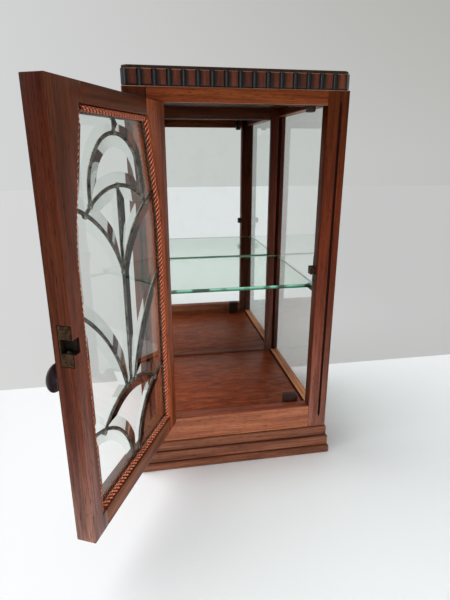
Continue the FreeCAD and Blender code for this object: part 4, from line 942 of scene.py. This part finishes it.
def sweptRun(name, run, outline, step=3.0):
    x0, z0, x1, z1, rise = run
    chord = Vector((x1 - x0, 0, z1 - z0))
    left = Vector((-chord.z, 0, chord.x)).normalized()
    start = Vector((leaded["middle"] + x0, 0, z0))
    side = left
    if rise:
        radius = (chord.length ** 2 / 4 + rise ** 2) / (2 * rise)
        centre = start + chord / 2 - left * (radius - rise)
        side = (start - centre).normalized()
        sweep = 2 * math.asin(min(1.0, chord.length / 2 / abs(radius)))
    pickNone()
    bpy.ops.mesh.primitive_circle_add(vertices=len(outline), radius=1, location=(0, 0, 0))
    piece = bpy.context.object
    piece.name = name
    for point, (across, depth) in zip(piece.data.vertices, outline):
        point.co = (start + side * across + Vector((0, depth, 0))) * mm
    startEdit(piece)
    bpy.ops.mesh.edge_face_add()
    if rise:
        turns = max(4, int(abs(radius) * sweep / step))
        axis = (0, -1, 0) if rise > 0 else (0, 1, 0)
        bpy.ops.mesh.spin(steps=turns, angle=sweep, center=centre * mm, axis=axis)
    else:
        bpy.ops.mesh.extrude_region_move(TRANSFORM_OT_translate={"value": chord * mm})
    bpy.ops.mesh.select_all(action="SELECT")
    bpy.ops.mesh.remove_doubles(threshold=0.000001)
    bpy.ops.mesh.normals_make_consistent(inside=False)
    endEdit()
    return piece


came = {"points": 14, "roundness": 0.8}  # a flattened oval, as rolled came has


def flattened(wave, full):
    return math.copysign(abs(wave) ** came["roundness"], wave) * full / 2


cameOutline = []
for count in range(came["points"]):
    angle = 2 * math.pi * count / came["points"]
    deep = flattened(math.sin(angle), leaded["far"] - leaded["near"])
    cameOutline.append((
        flattened(math.cos(angle), leaded["came width"]), (leaded["near"] + leaded["far"]) / 2 + deep))
cames = [sweptRun(f"came{count}", run, cameOutline) for count, run in enumerate(cameRuns + rimRuns)]
cameLattice = hangDoorPiece(joinPieces(cames, "leadCameLattice"))
finishPiece(cameLattice, leadSkin, "door", "lead_came", "came_lattice", smooth=50)

jointPlaces = [(0, z) for z in (504.5, 452.3, 358.3, 220.7)]
for x, z in ((11, 220.0), (56.5, 436.5), (67.5, 428.0), (68, 192.5)):
    jointPlaces += [(x, z), (-x, z)]
solder = {  # a drop of radius 1 and its crown, then its size on the came, how far it is sunk, and how drops differ
    "rim": 0.45, "crown": (0.225, 0.15), "inset": 0.3, "wide": 3.6, "oval": 0.92, "thick": 1.8, "sunk": 0.55,
    "shares": (0.9, 0.97, 1.04, 1.11), "turn": 0.7,
}


def solderDrop():
    drop = turnedRod("solderDrop", (0, 0, -solder["rim"]), 1.0, solder["rim"], 16)
    startEdit(drop)
    bpy.ops.mesh.select_mode(type="FACE")
    for way in (1, -1):
        bpy.ops.mesh.select_all(action="DESELECT")
        for face in bmesh.from_edit_mesh(drop.data).faces:
            face.select = face.normal.z * way > 0.9
        bmesh.update_edit_mesh(drop.data)
        for rise in solder["crown"]:
            bpy.ops.mesh.inset(thickness=solder["inset"] * mm, depth=0)
            bpy.ops.transform.translate(value=(0, 0, way * rise * mm))
    bpy.ops.mesh.select_all(action="SELECT")
    bpy.ops.transform.translate(value=(0, 0, solder["rim"] / 2 * mm))
    endEdit()
    return smoothForm(drop)


masterJoint = solderDrop()
joints = []
for count, (x, z) in enumerate(jointPlaces):
    wide = solder["wide"] * solder["shares"][count % 4]
    for deep in (leaded["near"] + solder["sunk"], leaded["far"] - solder["sunk"]):
        joints.append(setPlace(
            copyOf(masterJoint, f"solder{len(joints)}"), (leaded["middle"] + x, deep, z),
            (math.pi / 2, solder["turn"] * count, 0), (wide, wide * solder["oval"], solder["thick"])))
bpy.data.objects.remove(masterJoint)
solderJoints = hangDoorPiece(joinPieces(joints, "solderedJoints"))
finishPiece(solderJoints, tinSolder, "door", "lead_came", smooth=60)

panes = mergedCopy("leaded_panes", "bevelledPanes")
wheelTop = leaded["pane face"] - leaded["wheel over"]
wedge = leaded["bevel"] * (leaded["bevel depth"] + leaded["wheel over"]) / leaded["bevel depth"]
grindOutline = [(-wedge, wheelTop), (wedge, wheelTop), (0, leaded["pane face"] + leaded["bevel depth"])]
for count, run in enumerate(cameRuns + rimRuns):
    workWith(panes, hangDoorPiece(sweptRun(f"grindWheel{count}", run, grindOutline, 2.5)))
finishPiece(panes, [leadedGlass, bevelGlass], "door", "bevelled_pane", "leaded_panes", smooth=2)
# the ground slopes, which lean a few degrees from the flat face, take a grey-green tint as a painted reflection
stainFaces(panes, 1, lambda face: 0.9 < face.normal.dot(doorFront) < 0.9985)
print("leaded panel ready")

cord = {
    "radius": 2.9, "depth": 19.2, "lay": 17.0, "strands": 3, "strand": 1.28, "step": 0.75, "sides": 12, "grow": 4.5,
    "ends": 3.0, "tucked": 0.9, "apart": 0.3, "straight": 240.0, "end share": 0.55, "swell": 0.3,
}


def routePoints(name, controls):
    line = bpy.data.curves.new(name, "CURVE")
    line.dimensions = "3D"
    line.resolution_u = 40
    spline = line.splines.new("NURBS")
    spline.points.add(len(controls) - 1)
    for point, (x, z) in zip(spline.points, controls):
        point.co = ((leaded["middle"] + x) * mm, cord["depth"] * mm, z * mm, 1)
    spline.order_u = 3
    spline.use_endpoint_u = True
    route = bpy.data.objects.new(name, line)
    scene.collection.objects.link(route)
    bpy.context.view_layer.update()
    points = [point.co.copy() for point in bpy.data.meshes.new_from_object(route).vertices]
    bpy.data.objects.remove(route)
    return points


def evenPoints(points, step):
    reached = [0.0]
    for here, there in zip(points, points[1:]):
        reached.append(reached[-1] + (there - here).length)
    count = max(8, int(reached[-1] / (step * mm)))
    spaced = []
    at = 0
    for number in range(count + 1):
        goal = reached[-1] * number / count
        while at < len(points) - 2 and reached[at + 1] < goal:
            at += 1
        share = (goal - reached[at]) / max(1e-9, reached[at + 1] - reached[at])
        spaced.append(points[at].lerp(points[at + 1], share))
    return spaced, reached[-1]


def laidCord(name, controls):
    spaced, length = evenPoints(routePoints(name + "Route", controls), cord["step"])
    depth = Vector((0, 1, 0))
    points, faces, marks = [], [], []
    sides, step, last = cord["sides"], cord["step"], len(spaced) - 1
    for strand in range(cord["strands"]):
        centres = []
        for number, place in enumerate(spaced):
            run = (spaced[min(last, number + 1)] - spaced[max(0, number - 1)]).normalized()
            angle = 2 * math.pi * (length * number / last / (cord["lay"] * mm) + strand / cord["strands"])
            out = depth * math.cos(angle) + run.cross(depth) * math.sin(angle)
            centres.append((place + out * (cord["radius"] - cord["strand"]) * mm, out))
        base = len(points)
        for number, (centre, out) in enumerate(centres):
            run = (centres[min(last, number + 1)][0] - centres[max(0, number - 1)][0]).normalized()
            cross = run.cross(out).normalized()
            away = cross.cross(run)
            fromEnd = min(number, last - number) * step
            drawnIn = min(1.0, cord["end share"] + cord["swell"] * fromEnd)  # thinner at the ends
            for side in range(sides):
                turn = 2 * math.pi * side / sides
                points.append(centre + (away * math.cos(turn) + cross * math.sin(turn)) * cord["strand"] * drawnIn * mm)
        for number in range(last):
            ring, along = base + number * sides, number * step
            for side in range(sides):
                nextSide = (side + 1) % sides
                faces.append((ring + side, ring + nextSide, ring + sides + nextSide, ring + sides + side))
                marks += [(along, side), (along, side + 1), (along + step, side + 1), (along + step, side)]
        for end in (0, last):
            faces.append([base + end * sides + side for side in range(sides)])
            marks += [(end * step, side) for side in range(sides)]
    mesh = bpy.data.meshes.new(name)
    mesh.from_pydata(points, [], faces)
    layer = mesh.uv_layers.new(name="yarn")
    for mark, (along, side) in zip(layer.data, marks):
        mark.uv = (along, side / sides)
    piece = bpy.data.objects.new(name, mesh)
    scene.collection.objects.link(piece)
    startEdit(piece)
    bpy.ops.mesh.normals_make_consistent(inside=False)
    endEdit()
    print(name, "length in metres", round(length, 4))
    return piece


cordFoot, cordTurn, cordBend, cordCorner = openingSide(cord["grow"])
knee = cordTurn[1] + (leaded["bend"] + cord["grow"]) * math.tan(slope / 2)
beforeKnee = 2 * cordTurn[1] - knee
afterKnee = (2 * cordBend[0] - cordFoot[0], 2 * cordBend[1] - knee)
sideRoute = [(cordFoot[0], z) for z in (cordFoot[1] - cord["ends"], cord["straight"], beforeKnee, knee)]
sideRoute += [afterKnee, cordCorner]
beside = (cord["radius"] + cord["apart"]) / math.cos(slope)
cordRoutes = {
    "cordRight": [(x + cord["tucked"], z) for x, z in sideRoute],
    "cordLeft": [(-x, z) for x, z in sideRoute],
}
for name, (x, z) in (("cordFoot", cordFoot), ("cordTop", cordCorner)):
    cordRoutes[name] = [(share * (x - beside), z) for share in (-1, -0.4, 0.4, 1)]
cordPieces = [laidCord(name, controls) for name, controls in cordRoutes.items()]
cordPiece = hangDoorPiece(joinPieces(cordPieces, "glazingCordLaid"))
finishPiece(cordPiece, cordCotton, "door", "cord_fabric", "glazing_cord", smooth=70)
print("cord ready")

# A pale table top with a slightly greyer ground behind it, soft lamps, and a pale room for glass and metal to show; the
# ground and the room carry painted shade, darker to the right, and the room darker upwards.
stageLook = {
    "table": "#fbfdff", "ground": ("#d8d9d8", "#c9cac9"), "line": 0.163, "room": ("#d3d4d4", "#cbcccb", "#c0c1be"),
    "upper room": "#eaeae7", "ambient": 0.385, "ground span": (-0.5, 0.7), "wall span": (-0.28, 0.59),
    "wall height": 0.28,
}
pickNone()
bpy.ops.mesh.primitive_plane_add(size=12, location=(0, 0, 0))
table = bpy.context.object
table.name = "paleTable"
tableTop, tree, shader = blankMaterial("paleTableTop", {"Roughness": 0.6})
split = addNode(tree, "SeparateXYZ", None, {0: addNode(tree, "TexCoord").outputs["Object"]})
behind = addNode(tree, "Math", {"operation": "GREATER_THAN", 1: stageLook["line"]}, {0: split.outputs["Y"]})
across = addNode(
    tree, "MapRange", dict(zip(("From Min", "From Max"), stageLook["ground span"])), {"Value": split.outputs["X"]})
# painted shade: the ground darker to the right
ground = addNode(tree, "ValToRGB", {"stops": tuple(zip((0.0, 1.0), stageLook["ground"]))}, {0: across})
twoTone = addNode(tree, "Mix", {"data_type": "RGBA", 6: stageLook["table"]}, {0: behind, 7: ground})
linkInto(tree, shader, {"Base Color": twoTone.outputs[2]})
table.data.materials.append(tableTop)

room = bpy.data.worlds.new("paleRoom")
scene.world = room
room.use_nodes = True
tree = room.node_tree
tree.nodes.clear()
path = addNode(tree, "LightPath").outputs
sharp = addNode(tree, "Math", {"operation": "MAXIMUM"}, {0: path["Is Camera Ray"], 1: path["Is Glossy Ray"]})
shown = addNode(tree, "Math", {"operation": "MAXIMUM"}, {0: sharp, 1: path["Is Transmission Ray"]})
parts = addNode(tree, "SeparateXYZ", None, {0: addNode(tree, "TexCoord").outputs["Generated"]})
wallShare = addNode(
    tree, "MapRange", dict(zip(("From Min", "From Max"), stageLook["wall span"])), {"Value": parts.outputs["X"]})
# painted shade: the room darker to the right and upwards
wall = addNode(tree, "ValToRGB", {"stops": tuple(zip((0.0, 0.5, 1.0), stageLook["room"]))}, {0: wallShare})
upward = addNode(
    tree, "MapRange", {"From Min": 0.0, "From Max": stageLook["wall height"]}, {"Value": parts.outputs["Z"]})
dim = addNode(tree, "ValToRGB", {"stops": ((0.0, "#ffffff"), (1.0, stageLook["upper room"]))}, {0: upward})
shadedWall = addNode(tree, "Mix", multiplied, {0: wallShare, 6: wall, 7: dim})
seen = addNode(tree, "Background", {"Strength": 1.0}, {"Color": shadedWall.outputs[2]})
glow = addNode(tree, "Background", {"Color": "#ffffff", "Strength": stageLook["ambient"]})
mixed = addNode(tree, "MixShader", None, {0: shown, 1: glow, 2: seen})
addNode(tree, "OutputWorld", None, {"Surface": mixed})


def hangLamp(name, kind, place, aim, settings):
    lamp = bpy.data.lights.new(name, kind)
    for key, value in settings.items():
        setattr(lamp, key, value)
    holder = bpy.data.objects.new(name, lamp)
    holder.location = place
    holder.rotation_euler = (Vector(aim) - Vector(place)).to_track_quat("-Z", "Y").to_euler()
    scene.collection.objects.link(holder)
    return holder


middle = (0, 0, 0)
hangLamp("windowLeft", "SUN", (-1.2, 0.3, 1.6), middle, {"angle": math.radians(65), "energy": 2.12})
hangLamp("softFront", "SUN", (0.6, -1.5, 1.0), middle, {"angle": math.radians(90), "energy": 0.14})
lowFill = hangLamp("lowFill", "AREA", (0.15, -1.5, 0.16), (0, -0.15, 0.12), {
    "shape": "RECTANGLE", "size": 1.2, "size_y": 0.2, "energy": 1.6, "spread": math.radians(52)})
lowFill.visible_glossy = False  # kept out of the mirror
lowFill.visible_transmission = False
lowFill.visible_camera = False
print("stage ready")
